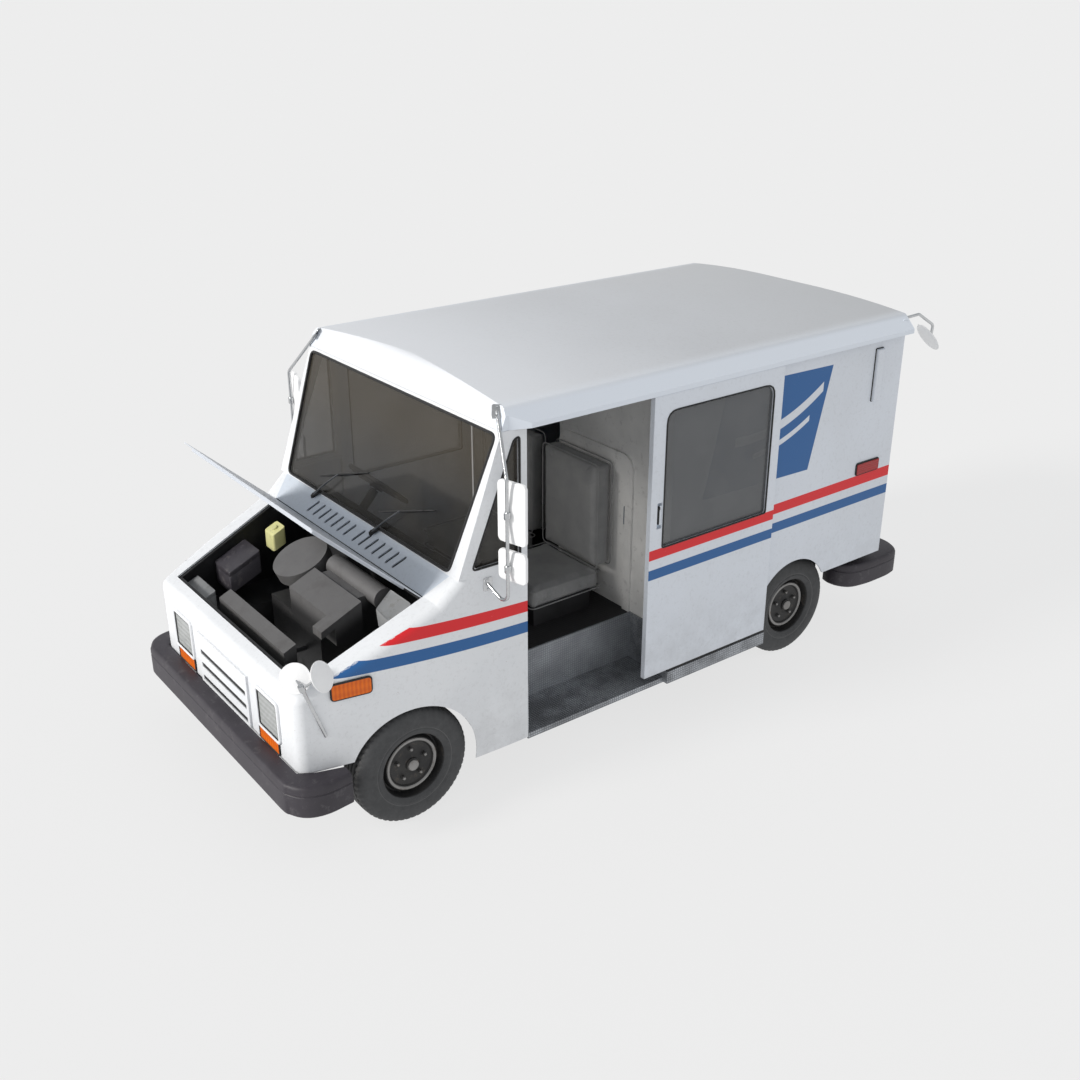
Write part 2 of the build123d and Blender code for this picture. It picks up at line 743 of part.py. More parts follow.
def make_rear_frame():
    inner = BODY_HALF_WIDTH - SIDE_WALL
    with BuildPart() as rear_frame:
        block((-inner, inner), (BODY_REAR - REAR_DEPTH, BODY_REAR), (REAR_FRAME_LOW, EAVE_HEIGHT + 2))
        opening = (-REAR_OPENING_HALF, REAR_OPENING_HALF)
        block(opening, (BODY_REAR - 2 * REAR_DEPTH, BODY_REAR + REAR_DEPTH),
              (REAR_OPENING_LOW, REAR_OPENING_TOP), mode=Mode.SUBTRACT)
    save(rear_frame.part, "rear_frame")


def make_rear_curtain():
    # slatted roller door, just inside the rear frame, with a pull handle at its foot
    back = BODY_REAR - REAR_DEPTH - RUN_CLEARANCE
    front = back - CURTAIN_WALL
    half = REAR_OPENING_HALF + CURTAIN_LAP
    with BuildPart() as rear_curtain:
        low, top = FLOOR_HEIGHT + 2 * GAP, REAR_OPENING_TOP + CURTAIN_LAP
        block((-half, half), (front, back), (low, top))
        pitch = (top - low) / CURTAIN_SLATS
        for slat in range(1, CURTAIN_SLATS):
            joint = low + slat * pitch
            block((-half, half), (back - CURTAIN_GROOVE, back),
                  (joint - CURTAIN_GROOVE, joint + CURTAIN_GROOVE), mode=Mode.SUBTRACT)
        grip = low + pitch * 1.5
        block((-CURTAIN_HANDLE, CURTAIN_HANDLE), (back, back + REAR_DEPTH), (grip, grip + 24))
        fillet(rear_curtain.faces().sort_by(Axis.Y)[-1].edges(), 6)
    save(rear_curtain.part, "rear_curtain")


# ---------------------------------------------------------------- floor, steps and bulkhead
def make_floor_pan():
    under = FLOOR_HEIGHT - FLOOR_WALL
    inner = BODY_HALF_WIDTH - SIDE_WALL
    with BuildPart() as floor_pan:
        narrow = LINER_LOW_X
        plan_cut([(-WELL_X, DOOR_FRONT), (-narrow, DOOR_FRONT), (-narrow, FLOOR_FRONT),
                  (narrow, FLOOR_FRONT), (narrow, DOOR_FRONT), (WELL_X, DOOR_FRONT),
                  (WELL_X, BULKHEAD_FACE), (inner, BULKHEAD_FACE), (inner, BODY_REAR - REAR_DEPTH),
                  (-inner, BODY_REAR - REAR_DEPTH), (-inner, BULKHEAD_FACE),
                  (-WELL_X, BULKHEAD_FACE)], (under, FLOOR_HEIGHT))
        block((-narrow, narrow), (FLOOR_FRONT - FIREWALL, FLOOR_FRONT), (under, BELT_HEIGHT - 20))
        half = COWL_HALF_REAR
        block((-half, half), (FLOOR_FRONT - FIREWALL, FLOOR_FRONT), (FIREWALL_LOW, BELT_HEIGHT - 20))
        for side in (1, -1):
            house = sorted((side * WHEELHOUSE_X, side * inner))
            hollow = sorted((side * (WHEELHOUSE_X + WHEELHOUSE_WALL), side * (inner + 1)))
            span = (WHEELBASE - WHEELHOUSE_HALF, WHEELBASE + WHEELHOUSE_HALF)
            inside = (span[0] + WHEELHOUSE_WALL, span[1] - WHEELHOUSE_WALL)
            block(house, span, (under, WHEELHOUSE_TOP))
            block(hollow, inside, (under - 1, WHEELHOUSE_TOP - WHEELHOUSE_WALL), mode=Mode.SUBTRACT)
        for middle in (DRIVER_LEFT_EDGE - 2 * SEAT_BASE_INSET,
                       DRIVER_LEFT_EDGE - SEAT_WIDTH + 2 * SEAT_BASE_INSET):
            block((middle - RUNNER_HALF, middle + RUNNER_HALF),
                  (SEAT_FRONT - SEAT_BACK_TRAVEL + SEAT_BASE_INSET, SEAT_FRONT + SEAT_LENGTH),
                  (FLOOR_HEIGHT, FLOOR_HEIGHT + SEAT_RUNNER - RUN_CLEARANCE))
    save(floor_pan.part, "floor_pan")


def make_step_plates():
    # entry wells either side: tread, riser, end walls and the outer ledge under the open door
    outer = BODY_HALF_WIDTH
    with BuildPart() as step_plates:
        for side in (1, -1):
            tread = sorted((side * WELL_X, side * outer))
            riser = sorted((side * (WELL_X + 0.5), side * (WELL_X + STEP_PLATE)))
            inner = sorted((side * WELL_X, side * (outer - SIDE_WALL)))
            skirt = sorted((side * (outer - STEP_PLATE), side * outer))
            ledge = sorted((side * (outer - SIDE_WALL), side * LEDGE_X))
            block(tread, (DOOR_FRONT, BULKHEAD_FACE - 1), (STEP_HEIGHT - STEP_PLATE, STEP_HEIGHT))
            block(riser, (DOOR_FRONT, BULKHEAD_FACE - 1), (STEP_HEIGHT - STEP_PLATE, FLOOR_HEIGHT))
            block(inner, (DOOR_FRONT, DOOR_FRONT + STEP_PLATE), (STEP_HEIGHT, FLOOR_HEIGHT))
            block(inner, (BULKHEAD_FACE - 1 - STEP_PLATE, BULKHEAD_FACE - 1),
                  (STEP_HEIGHT - STEP_PLATE, FLOOR_HEIGHT))
            block(skirt, (DOOR_FRONT, BULKHEAD_FACE - 1), (STEP_HEIGHT - STEP_SKIRT, STEP_HEIGHT))
            block(ledge, (SIDE_FRONT - 6, LEDGE_REAR), (LEDGE_LOW, LEDGE_TOP))
    save(step_plates.part, "step_plates")


def make_bulkhead():
    # wall behind the cab with a passage to the cargo space and a raised arch behind the left seat
    inner = BODY_HALF_WIDTH - SIDE_WALL
    rear = BULKHEAD_FACE + BULKHEAD_WALL
    with BuildPart() as bulkhead:
        block((-inner, inner), (BULKHEAD_FACE, rear), (FLOOR_HEIGHT, EAVE_HEIGHT + 2))
        with BuildSketch(Plane.XZ.offset(-at(rear + 1))) as passage:
            with BuildLine():
                left, right = PASSAGE
                Polyline((left, FLOOR_HEIGHT), (right, FLOOR_HEIGHT), (right, PASSAGE_TOP),
                         (left, PASSAGE_TOP), close=True)
            make_face()
            fillet(passage.vertices().group_by(Axis.Y)[-1], PASSAGE_CORNER)
        extrude(amount=BULKHEAD_WALL + 2, mode=Mode.SUBTRACT)
        with BuildSketch(Plane.XZ.offset(-at(BULKHEAD_FACE))) as arch:
            with BuildLine():
                low, high = ARCH_BEAM
                Polyline((low, FLOOR_HEIGHT), (high, FLOOR_HEIGHT), (high, ARCH_BEAM_TOP),
                         (low, ARCH_BEAM_TOP), close=True)
            make_face()
            fillet(arch.vertices().group_by(Axis.Y)[-1], ARCH_BEAM_LEG * 1.5)
            with BuildSketch(mode=Mode.PRIVATE) as hollow:
                with BuildLine():
                    near, far = low + ARCH_BEAM_LEG, high - ARCH_BEAM_LEG
                    Polyline((near, FLOOR_HEIGHT), (far, FLOOR_HEIGHT), (far, ARCH_BEAM_LOW),
                             (near, ARCH_BEAM_LOW), close=True)
                make_face()
                fillet(hollow.vertices().group_by(Axis.Y)[-1], ARCH_BEAM_LEG * 1.5)
            add(hollow.sketch, mode=Mode.SUBTRACT)
        extrude(amount=ARCH_BEAM_PROUD)
    save(bulkhead.part, "bulkhead")


# ---------------------------------------------------------------- hood and doors
def make_hood():
    # shown raised: the closed panel is drawn on the nose slope and turned about its rear hinge line
    with BuildPart() as hood:
        length = HOOD_LENGTH - 2 * GAP
        with BuildSketch(HOOD_PLANE) as skin:
            with BuildLine():
                rear, front = HOOD_HALF_REAR - GAP, HOOD_HALF_FRONT - GAP
                Polyline((-rear, -GAP), (rear, -GAP), (front, -GAP - length),
                         (-front, -GAP - length), close=True)
            make_face()
            fillet(skin.vertices(), HOOD_CORNER)
        extrude(amount=-HOOD_SKIN)
        with BuildSketch(HOOD_PLANE.offset(-HOOD_SKIN)):
            with Locations((0, -HOOD_LENGTH / 2)):
                Rectangle(2 * HOOD_HALF_FRONT - HOOD_RIB_INSET, HOOD_LENGTH - HOOD_RIB_INSET)
                Rectangle(
                    2 * HOOD_HALF_FRONT - HOOD_RIB_INSET - 2 * HOOD_RIB,
                    HOOD_LENGTH - HOOD_RIB_INSET - 2 * HOOD_RIB, mode=Mode.SUBTRACT,
                )
        extrude(amount=-HOOD_RIB_DEPTH)
    hinge = Axis(hood_hinge(), (1, 0, 0))
    raised = hood.part.rotate(hinge, -HOOD_RISE)
    save(raised, "hood")


def hood_hinge():
    # hinge line just under the rear edge of the closed panel
    return HOOD_PLANE.from_local_coords(Vector(0, -HINGE_SETBACK, -HINGE_DROP))


def make_door(front, name):
    # flat sliding door with a large window and a recessed latch near its leading edge
    rear = front + DOOR_LENGTH
    outer = DOOR_INNER + DOOR_WALL
    with BuildPart() as door:
        block((DOOR_INNER, outer), (front, rear), (DOOR_LOW, EAVE_HEIGHT))
        edges = door.faces().sort_by(Axis.X)[-1].edges()
        fillet(edges, DOOR_EDGE)
        extrude(window_outline(front, DOOR_INNER), amount=DOOR_WALL, mode=Mode.SUBTRACT)
        latch = (front + LATCH_BACK, front + LATCH_BACK + LATCH_SIZE[0])
        height = (LATCH_HEIGHT - LATCH_SIZE[1] / 2, LATCH_HEIGHT + LATCH_SIZE[1] / 2)
        block((outer - LATCH_DEPTH, outer), latch, height, mode=Mode.SUBTRACT)
        lever = (latch[0] + LATCH_SIZE[0] * 0.55, latch[1])
        block((outer - LATCH_DEPTH, outer - 3), lever, (height[0] + 20, height[1] - 20))
    with BuildPart() as glass:
        extrude(window_outline(front, DOOR_INNER + (DOOR_WALL - GLASS) / 2), amount=GLASS)
    if name == "left":
        save(door.part, "left_door")
        save(glass.part, "left_door_glass")
    else:
        save(mirrored(door.part), "right_door")
        save(mirrored(glass.part), "right_door_glass")


def window_outline(front, x):
    near, far = at(front + WINDOW_FRONT), at(front + DOOR_LENGTH - WINDOW_REAR)
    with BuildSketch(Plane.YZ.offset(x)) as outline:
        with BuildLine():
            Polyline((near, WINDOW_LOW), (far, WINDOW_LOW), (far, WINDOW_TOP), (near, WINDOW_TOP),
                     close=True)
        make_face()
        fillet(outline.vertices().group_by(Axis.Y)[-1], WINDOW_CORNER)
        fillet(outline.vertices().group_by(Axis.Y)[0], WINDOW_LOW_CORNER)
    return outline.sketch


def make_door_rails():
    # upper tracks along both eaves and lower tracks on both ledges
    rear = DOOR_FRONT + DOOR_TRAVEL + DOOR_LENGTH
    with BuildPart() as door_rails:
        for side in (1, -1):
            x = sorted((side * RAIL_X[0], side * RAIL_X[1]))
            hanger = sorted((side * (BODY_HALF_WIDTH + 2), side * RAIL_X[1]))
            top = EAVE_HEIGHT + GAP
            block(x, (DOOR_FRONT + GAP, rear), (top, top + RAIL_HEIGHT))
            block(hanger, (DOOR_FRONT + GAP, rear), (top + RAIL_HEIGHT, top + RAIL_HEIGHT + 6))
            block(x, (SIDE_FRONT, LEDGE_REAR), (LEDGE_TOP, LEDGE_TOP + RAIL_HEIGHT))
    save(door_rails.part, "door_rails")


# ---------------------------------------------------------------- bumpers, lamps
def make_front_bumper():
    bend = [(x, BUMPER_FACE + back) for x, back in BUMPER_BEND]
    half = [(BUMPER_FLAT_HALF, BUMPER_FACE), *bend, (BUMPER_HALF, BUMPER_FACE + 190),
            (BUMPER_HALF - 12, BUMPER_END), (nose_half(BUMPER_END) + GAP, BUMPER_END),
            (nose_half(NOSE_FACE + NOSE_CORNER) + 3 * GAP, NOSE_FACE + NOSE_CORNER),
            (NOSE_HALF_WIDTH - NOSE_CORNER / 4, BUMPER_BEHIND)]
    with BuildPart() as front_bumper:
        plan_cut(both_sides(half), (BUMPER_LOW, BUMPER_TOP))
        outer = front_bumper.faces().filter_by(Axis.Z).edges()
        rim = outer.filter_by(lambda e: (e @ 0.5).Y < at(BUMPER_FACE + 10))
        chamfer(rim, BUMPER_EDGE)
    save(front_bumper.part, "front_bumper")


def make_rear_bumper():
    half = [(TAIL_BUMPER_FLAT_HALF - 20, TAIL_BUMPER_BEHIND), *TAIL_BUMPER_INNER, TAIL_BUMPER_TIP,
            *TAIL_BUMPER_OUTER, (TAIL_BUMPER_FLAT_HALF, TAIL_BUMPER_FACE)]
    with BuildPart() as rear_bumper:
        plan_cut(both_sides(half), (TAIL_BUMPER_LOW, TAIL_BUMPER_TOP))
        outer = rear_bumper.faces().filter_by(Axis.Z).edges()
        rim = outer.filter_by(lambda e: (e @ 0.5).Y > at(TAIL_BUMPER_FACE - 10))
        chamfer(rim, BUMPER_EDGE)
    save(rear_bumper.part, "rear_bumper")


def make_headlamps():
    with BuildPart() as headlamps:
        for side in (1, -1):
            limits = sorted((side * LAMP_X[0], side * LAMP_X[1]))
            block(limits, (NOSE_FACE - LAMP_PROUD, NOSE_FACE + LAMP_DEPTH - LAMP_PROUD), LAMP_Z)
    save(headlamps.part, "headlamps")


def make_amber_lamps():
    # turn lamps under the headlamps and a marker on each front flank
    with BuildPart() as amber_lamps:
        for side in (1, -1):
            limits = sorted((side * TURN_X[0], side * TURN_X[1]))
            block(limits, (NOSE_FACE - 2 * LAMP_PROUD, NOSE_FACE + LAMP_DEPTH / 2), TURN_Z)
            lean = asin((NOSE_FULL_WIDTH_AT - MARKER_STATION) / NOSE_RADIUS)
            middle = sum(MARKER_Z) / 2
            flank = Plane(
                origin=(side * nose_half(MARKER_STATION), at(MARKER_STATION), middle),
                x_dir=(side * sin(lean), cos(lean), 0),
                z_dir=(side * cos(lean), -sin(lean), 0),
            )
            with BuildSketch(flank):
                RectangleRounded(MARKER_LENGTH, MARKER_Z[1] - MARKER_Z[0], 14)
            extrude(amount=MARKER_PROUD)
    save(amber_lamps.part, "amber_lamps")


def make_red_lamps():
    with BuildPart() as red_lamps:
        for side in (1, -1):
            proud = sorted((side * BODY_HALF_WIDTH, side * (BODY_HALF_WIDTH + MARKER_PROUD)))
            block(proud, REFLECTOR[0:2], REFLECTOR[2:4])
            tail = sorted((side * TAIL_LAMP_X[0], side * TAIL_LAMP_X[1]))
            block(tail, (BODY_REAR, BODY_REAR + MARKER_PROUD), TAIL_LAMP_Z)
    save(red_lamps.part, "red_lamps")


# ---------------------------------------------------------------- mirrors and wipers
def make_mirror_arms():
    # bent tubes on both front corners, the cross-view rod and the tail mirror arm
    with BuildPart() as arm:
        high = (MIRROR_ROD_X, MIRROR_ROD_STATION, MIRROR_KINK)
        low = (MIRROR_ROD_X, MIRROR_ROD_STATION, MIRROR_ROD_LOW)
        tube([MIRROR_TOP_FOOT, high, low, MIRROR_LOW_FOOT], MIRROR_BEND, TUBE)
    with BuildPart() as other_arm:
        add(mirrored(arm.part))
    with BuildPart() as rods:
        rod(CROSS_FOOT, CROSS_TOP, TUBE)
    with BuildPart() as tail_arm:
        tube([TAIL_MIRROR_FOOT, TAIL_MIRROR_RISE, TAIL_MIRROR_DROP, tail_mirror_back(26)],
             TAIL_MIRROR_BEND, TUBE)
    save(Compound([arm.part, other_arm.part, rods.part, tail_arm.part]), "mirror_arms")


def tail_mirror_back(away):
    # point behind the centre of the tail mirror, a given distance from its disc
    length = sqrt(sum(n * n for n in TAIL_MIRROR_NORMAL))
    return tuple(c - n / length * away for c, n in zip(TAIL_MIRROR_CENTRE, TAIL_MIRROR_NORMAL))


def make_mirror_heads():
    # a tall flat mirror over a short one, each clamped round the upright of its arm
    lean = radians(MIRROR_TOE)
    with BuildPart() as heads:
        for low, high in (MIRROR_UPPER, MIRROR_LOWER):
            middle = (low + high) / 2
            upright = Plane(origin=(MIRROR_ROD_X, at(MIRROR_ROD_STATION), low),
                            x_dir=(cos(lean), sin(lean), 0))
            with BuildSketch(upright) as shell:
                with Locations((0, MIRROR_SET_BACK + MIRROR_DEPTH / 2)):
                    Rectangle(MIRROR_WIDTH, MIRROR_DEPTH)
                fillet(shell.vertices(), MIRROR_DEPTH * 0.3)
            extrude(amount=high - low)
            with BuildSketch(upright.offset(middle - low - MIRROR_CLAMP)):
                Circle(TUBE + MIRROR_CLAMP / 2)
                with Locations((0, MIRROR_SET_BACK / 2 + TUBE / 2)):
                    Rectangle(2 * MIRROR_CLAMP, MIRROR_SET_BACK)
            extrude(amount=2 * MIRROR_CLAMP)
        with BuildSketch(Plane.XY.offset(MIRROR_LOWER[0])):
            with Locations((MIRROR_ROD_X, at(MIRROR_ROD_STATION))):
                Circle(TUBE + SHAFT_CLEARANCE)
        extrude(amount=MIRROR_UPPER[1] - MIRROR_LOWER[0], mode=Mode.SUBTRACT)
    save(heads.part, "left_mirror_heads")
    save(mirrored(heads.part), "right_mirror_heads")


def make_cross_view_discs():
    # two round convex mirrors on one clamp near the top of the cross-view rod
    foot, top = Vector(*CROSS_FOOT), Vector(*CROSS_TOP)
    along = (top - foot).normalized()
    middle = top - along * CROSS_CLAMP
    with BuildPart() as discs:
        low, high = middle - along * CROSS_CLAMP, middle + along * CROSS_CLAMP
        rod(tuple(low), tuple(high), TUBE + 7)
        for centre, normal in CROSS_DISCS:
            face = Vector(*normal).normalized()
            near, far = Vector(*centre), Vector(*centre) + face * CROSS_THICKNESS
            rod(tuple(middle), tuple(near), TUBE - 3)
            rod(tuple(near), tuple(far), CROSS_RADIUS)
        rod(tuple(low - along), tuple(high + along), TUBE + SHAFT_CLEARANCE, mode=Mode.SUBTRACT)
    save(discs.part, "cross_view_discs")


def make_tail_mirror():
    with BuildPart() as rear_view_disc:
        back = tail_mirror_back(TAIL_MIRROR_THICKNESS / 2)
        front = tail_mirror_back(-TAIL_MIRROR_THICKNESS / 2)
        rod(front, back, TAIL_MIRROR_RADIUS)
        rod(back, tail_mirror_back(14), TUBE + 5)
    save(rear_view_disc.part, "rear_view_disc")


def make_wipers():
    lean, blade_lean = radians(WIPER_ARM_ANGLE), radians(WIPER_BLADE_ANGLE)
    blade_top = WIPER_CLEARANCE + WIPER_BLADE_DEPTH
    for name, pivot in zip(("right_wiper", "left_wiper"), WIPER_PIVOTS):
        tip = (pivot + WIPER_ARM * cos(lean), WIPER_PIVOT_UP + WIPER_ARM * sin(lean))
        with BuildPart() as wiper:
            with BuildSketch(SCREEN.offset(-WIPER_SHAFT_BELOW)):
                with Locations((pivot, WIPER_PIVOT_UP)):
                    Circle(WIPER_SHAFT)
            extrude(amount=WIPER_SHAFT_BELOW + blade_top + WIPER_ARM_DEPTH)
            with BuildSketch(SCREEN.offset(blade_top)):
                middle = ((pivot + tip[0]) / 2, (WIPER_PIVOT_UP + tip[1]) / 2)
                with Locations(Location((*middle, 0), (0, 0, WIPER_ARM_ANGLE))):
                    SlotOverall(WIPER_ARM + WIPER_ARM_WIDTH, WIPER_ARM_WIDTH)
            extrude(amount=WIPER_ARM_DEPTH)
            with BuildSketch(SCREEN.offset(WIPER_CLEARANCE)):
                centre = (tip[0] + WIPER_BLADE_LEAD * cos(blade_lean),
                          tip[1] + WIPER_BLADE_LEAD * sin(blade_lean))
                with Locations(Location((*centre, 0), (0, 0, WIPER_BLADE_ANGLE))):
                    Rectangle(WIPER_BLADE, WIPER_BLADE_WIDTH)
            extrude(amount=WIPER_BLADE_DEPTH)
        save(wiper.part, name)


# ---------------------------------------------------------------- wheels and running gear
def wheel_plane(station):
    # local x across the truck, local y upwards, origin on the axle line
    return Plane(origin=(0, at(station), AXLE_HEIGHT), x_dir=(1, 0, 0), z_dir=(0, -1, 0))


def wheel_axis(station):
    return Axis((0, at(station), AXLE_HEIGHT), (1, 0, 0))


def make_wheel(station, face, name):
    with BuildPart() as tyre:
        with BuildSketch(wheel_plane(station)) as section:
            with BuildLine():
                inner = face - TYRE_WIDTH
                Polyline((inner, TYRE_RADIUS), (face, TYRE_RADIUS), (face, RIM_RADIUS + 30),
                         (face - BEAD_INSET, RIM_RADIUS), (inner + BEAD_INSET, RIM_RADIUS),
                         (inner, RIM_RADIUS + 30), close=True)
            make_face()
            fillet(section.vertices().group_by(Axis.Y)[-1], TYRE_SHOULDER)
            fillet(section.vertices().group_by(Axis.Y)[1], TYRE_SHOULDER / 2)
        revolve(axis=wheel_axis(station))
    with BuildPart() as rim:
        with BuildSketch(wheel_plane(station)):
            with BuildLine():
                outer, inner = face - BEAD_INSET, face - TYRE_WIDTH + BEAD_INSET
                disc = face - RIM_DISC_INSET
                back = disc - RIM_DISC_THICKNESS
                bore, barrel = SPINDLE_RADIUS + SHAFT_CLEARANCE, RIM_RADIUS - RIM_WALL
                Polyline((outer, RIM_RADIUS), (outer, barrel), (disc, barrel - 12),
                         (disc - 22, RIM_DISH), (disc, RIM_DISH - 16), (disc, HUB_RADIUS),
                         (disc + 6, HUB_RADIUS - 8), (disc + 6, bore), (back, bore),
                         (back, RIM_DISH - 26), (back - 22, RIM_DISH), (back, barrel),
                         (inner, barrel), (inner, RIM_RADIUS), close=True)
            make_face()
        revolve(axis=wheel_axis(station))
        with BuildSketch(Plane.YZ.offset(back - 30)):
            with Locations((at(station), AXLE_HEIGHT)):
                with PolarLocations(LUG_CIRCLE, LUG_COUNT, start_angle=90):
                    Circle(LUG_HOLE_RADIUS)
        extrude(amount=60, mode=Mode.SUBTRACT)
    for side, turn in (("left", False), ("right", True)):
        save(mirrored(tyre.part) if turn else tyre.part, f"{side}_{name}_tyre")
        save(mirrored(rim.part) if turn else rim.part, f"{side}_{name}_rim")


def make_knuckles():
    # steering knuckle: sleeve on the kingpin, flange and wheel spindle
    with BuildPart() as knuckle:
        low, high = AXLE_HEIGHT - KNUCKLE_HALF, AXLE_HEIGHT + KNUCKLE_HALF
        rod((KINGPIN_X, 0, low), (KINGPIN_X, 0, high), KINGPIN_RADIUS + 12)
        tip = FRONT_TYRE_FACE - RIM_DISC_INSET + 4
        back = FRONT_TYRE_FACE - RIM_DISC_INSET - RIM_DISC_THICKNESS
        rod((KINGPIN_X, 0, AXLE_HEIGHT), (tip, 0, AXLE_HEIGHT), SPINDLE_RADIUS)
        rod((back - 24, 0, AXLE_HEIGHT), (back - 1, 0, AXLE_HEIGHT), HUB_RADIUS - 6)
        rod((KINGPIN_X, 0, low - 1), (KINGPIN_X, 0, high + 1), KINGPIN_RADIUS + SHAFT_CLEARANCE,
            mode=Mode.SUBTRACT)
    save(knuckle.part, "left_knuckle")
    save(mirrored(knuckle.part), "right_knuckle")


def make_chassis_frame():
    # ladder frame with front arms, kingpins and rear leaf springs
    with BuildPart() as chassis_frame:
        top = FLOOR_HEIGHT - FLOOR_WALL
        for side in (1, -1):
            rail = sorted((side * RAIL_X_IN, side * RAIL_X_OUT))
            block(rail, (RAIL_FRONT, RAIL_REAR), (RAIL_LOW, top))
            wall = RAIL_SECTION_WALL
            open_side = sorted((side * (RAIL_X_IN - 1), side * (RAIL_X_OUT - wall)))
            block(open_side, (RAIL_FRONT, RAIL_REAR), (RAIL_LOW + wall, top - wall), mode=Mode.SUBTRACT)
            block(rail, (BUMPER_BEHIND, RAIL_FRONT + 60), (RAIL_LOW - 40, RAIL_LOW + wall))
            web = sorted((side * (RAIL_X_OUT - wall), side * ARM_X))
            arm = sorted((side * (ARM_X - 10), side * (KINGPIN_X + 22)))
            low, high = AXLE_HEIGHT - KNUCKLE_HALF - RUN_CLEARANCE, AXLE_HEIGHT + KNUCKLE_HALF + RUN_CLEARANCE
            block(web, (-40, 40), (low - ARM_THICK, RAIL_LOW + 20))
            block(arm, (-30, 30), (low - ARM_THICK, low))
            block(arm, (-30, 30), (high, high + ARM_THICK))
            rod((side * KINGPIN_X, 0, low - ARM_THICK), (side * KINGPIN_X, 0, high + ARM_THICK),
                KINGPIN_RADIUS)
            spring = sorted((side * (SPRING_X - SPRING_WIDTH / 2), side * (SPRING_X + SPRING_WIDTH / 2)))
            crown = AXLE_HEIGHT - AXLE_TUBE
            eye = RAIL_LOW
            with BuildSketch(Plane.YZ.offset(spring[0])):
                with BuildLine():
                    near, far = at(WHEELBASE - SPRING_HALF), at(WHEELBASE + SPRING_HALF)
                    ThreePointArc((near, eye), (at(WHEELBASE), crown), (far, eye))
                    Line((far, eye), (far, eye - SPRING_THICK))
                    ThreePointArc((far, eye - SPRING_THICK), (at(WHEELBASE), crown - SPRING_THICK),
                                  (near, eye - SPRING_THICK))
                    Line((near, eye - SPRING_THICK), (near, eye))
                make_face()
            extrude(amount=SPRING_WIDTH)
            hanger = sorted((side * (RAIL_X_OUT - 10), side * (SPRING_X + SPRING_WIDTH / 2)))
            for end in (-SPRING_HALF, SPRING_HALF - 40):
                block(hanger, (WHEELBASE + end, WHEELBASE + end + 40), (eye - SPRING_THICK, eye + 30))
        for member in MEMBERS:
            block((-RAIL_X_OUT, RAIL_X_OUT), (member - MEMBER[0] / 2, member + MEMBER[0] / 2),
                  MEMBER[1:])
        block((-ARM_X, ARM_X), (-40, 40), (low - ARM_THICK, low))
    save(chassis_frame.part, "chassis_frame")


def make_rear_axle():
    # spindles, brake drums, axle tubes and the differential bulge, turned in one piece
    tip = REAR_TYRE_FACE - RIM_DISC_INSET + 4
    back = REAR_TYRE_FACE - RIM_DISC_INSET - RIM_DISC_THICKNESS
    drum = (back - DRUM_OUTER_GAP - DRUM_WIDTH, back - DRUM_OUTER_GAP)
    half = [(tip, 0), (tip, SPINDLE_RADIUS), (drum[1], SPINDLE_RADIUS), (drum[1], DRUM_RADIUS),
            (drum[0], DRUM_RADIUS), (drum[0], AXLE_TUBE), (DIFF_HALF, AXLE_TUBE),
            (DIFF_HALF * 0.6, DIFF_RADIUS)]
    with BuildPart() as rear_axle:
        with BuildSketch(wheel_plane(WHEELBASE)):
            with BuildLine():
                Polyline(half + [(-x, r) for x, r in reversed(half)], close=True)
            make_face()
        revolve(axis=wheel_axis(WHEELBASE))
    save(rear_axle.part, "rear_axle")


def make_tank_and_exhaust():
    with BuildPart() as fuel_tank:
        block(*TANK)
        fillet(fuel_tank.edges().filter_by(Axis.X), 30)
    save(fuel_tank.part, "fuel_tank")
    with BuildPart() as exhaust:
        tube([(-200, 270, 436), (-300, 520, PIPE_HEIGHT), (-300, MUFFLER[0] + 20, PIPE_HEIGHT)],
             120, PIPE)
        rod((-300, MUFFLER[0], PIPE_HEIGHT), (-300, MUFFLER[1], PIPE_HEIGHT), MUFFLER_RADIUS)
        tube([(-300, MUFFLER[1] - 20, PIPE_HEIGHT), (-300, 2060, PIPE_HEIGHT),
              (-620, PIPE_EXIT, PIPE_HEIGHT), (-900, PIPE_EXIT, PIPE_HEIGHT)], 100, PIPE)
    save(exhaust.part, "exhaust")


def make_mudflaps():
    with BuildPart() as mudflaps:
        for side in (1, -1):
            block(sorted((side * FLAP_X[0], side * FLAP_X[1])), (FLAP_STATION, FLAP_STATION + 8),
                  FLAP_Z)
    save(mudflaps.part, "mudflaps")


# ---------------------------------------------------------------- engine bay
def bay_top(station):
    return hood_height(station) - BAY_DEPTH


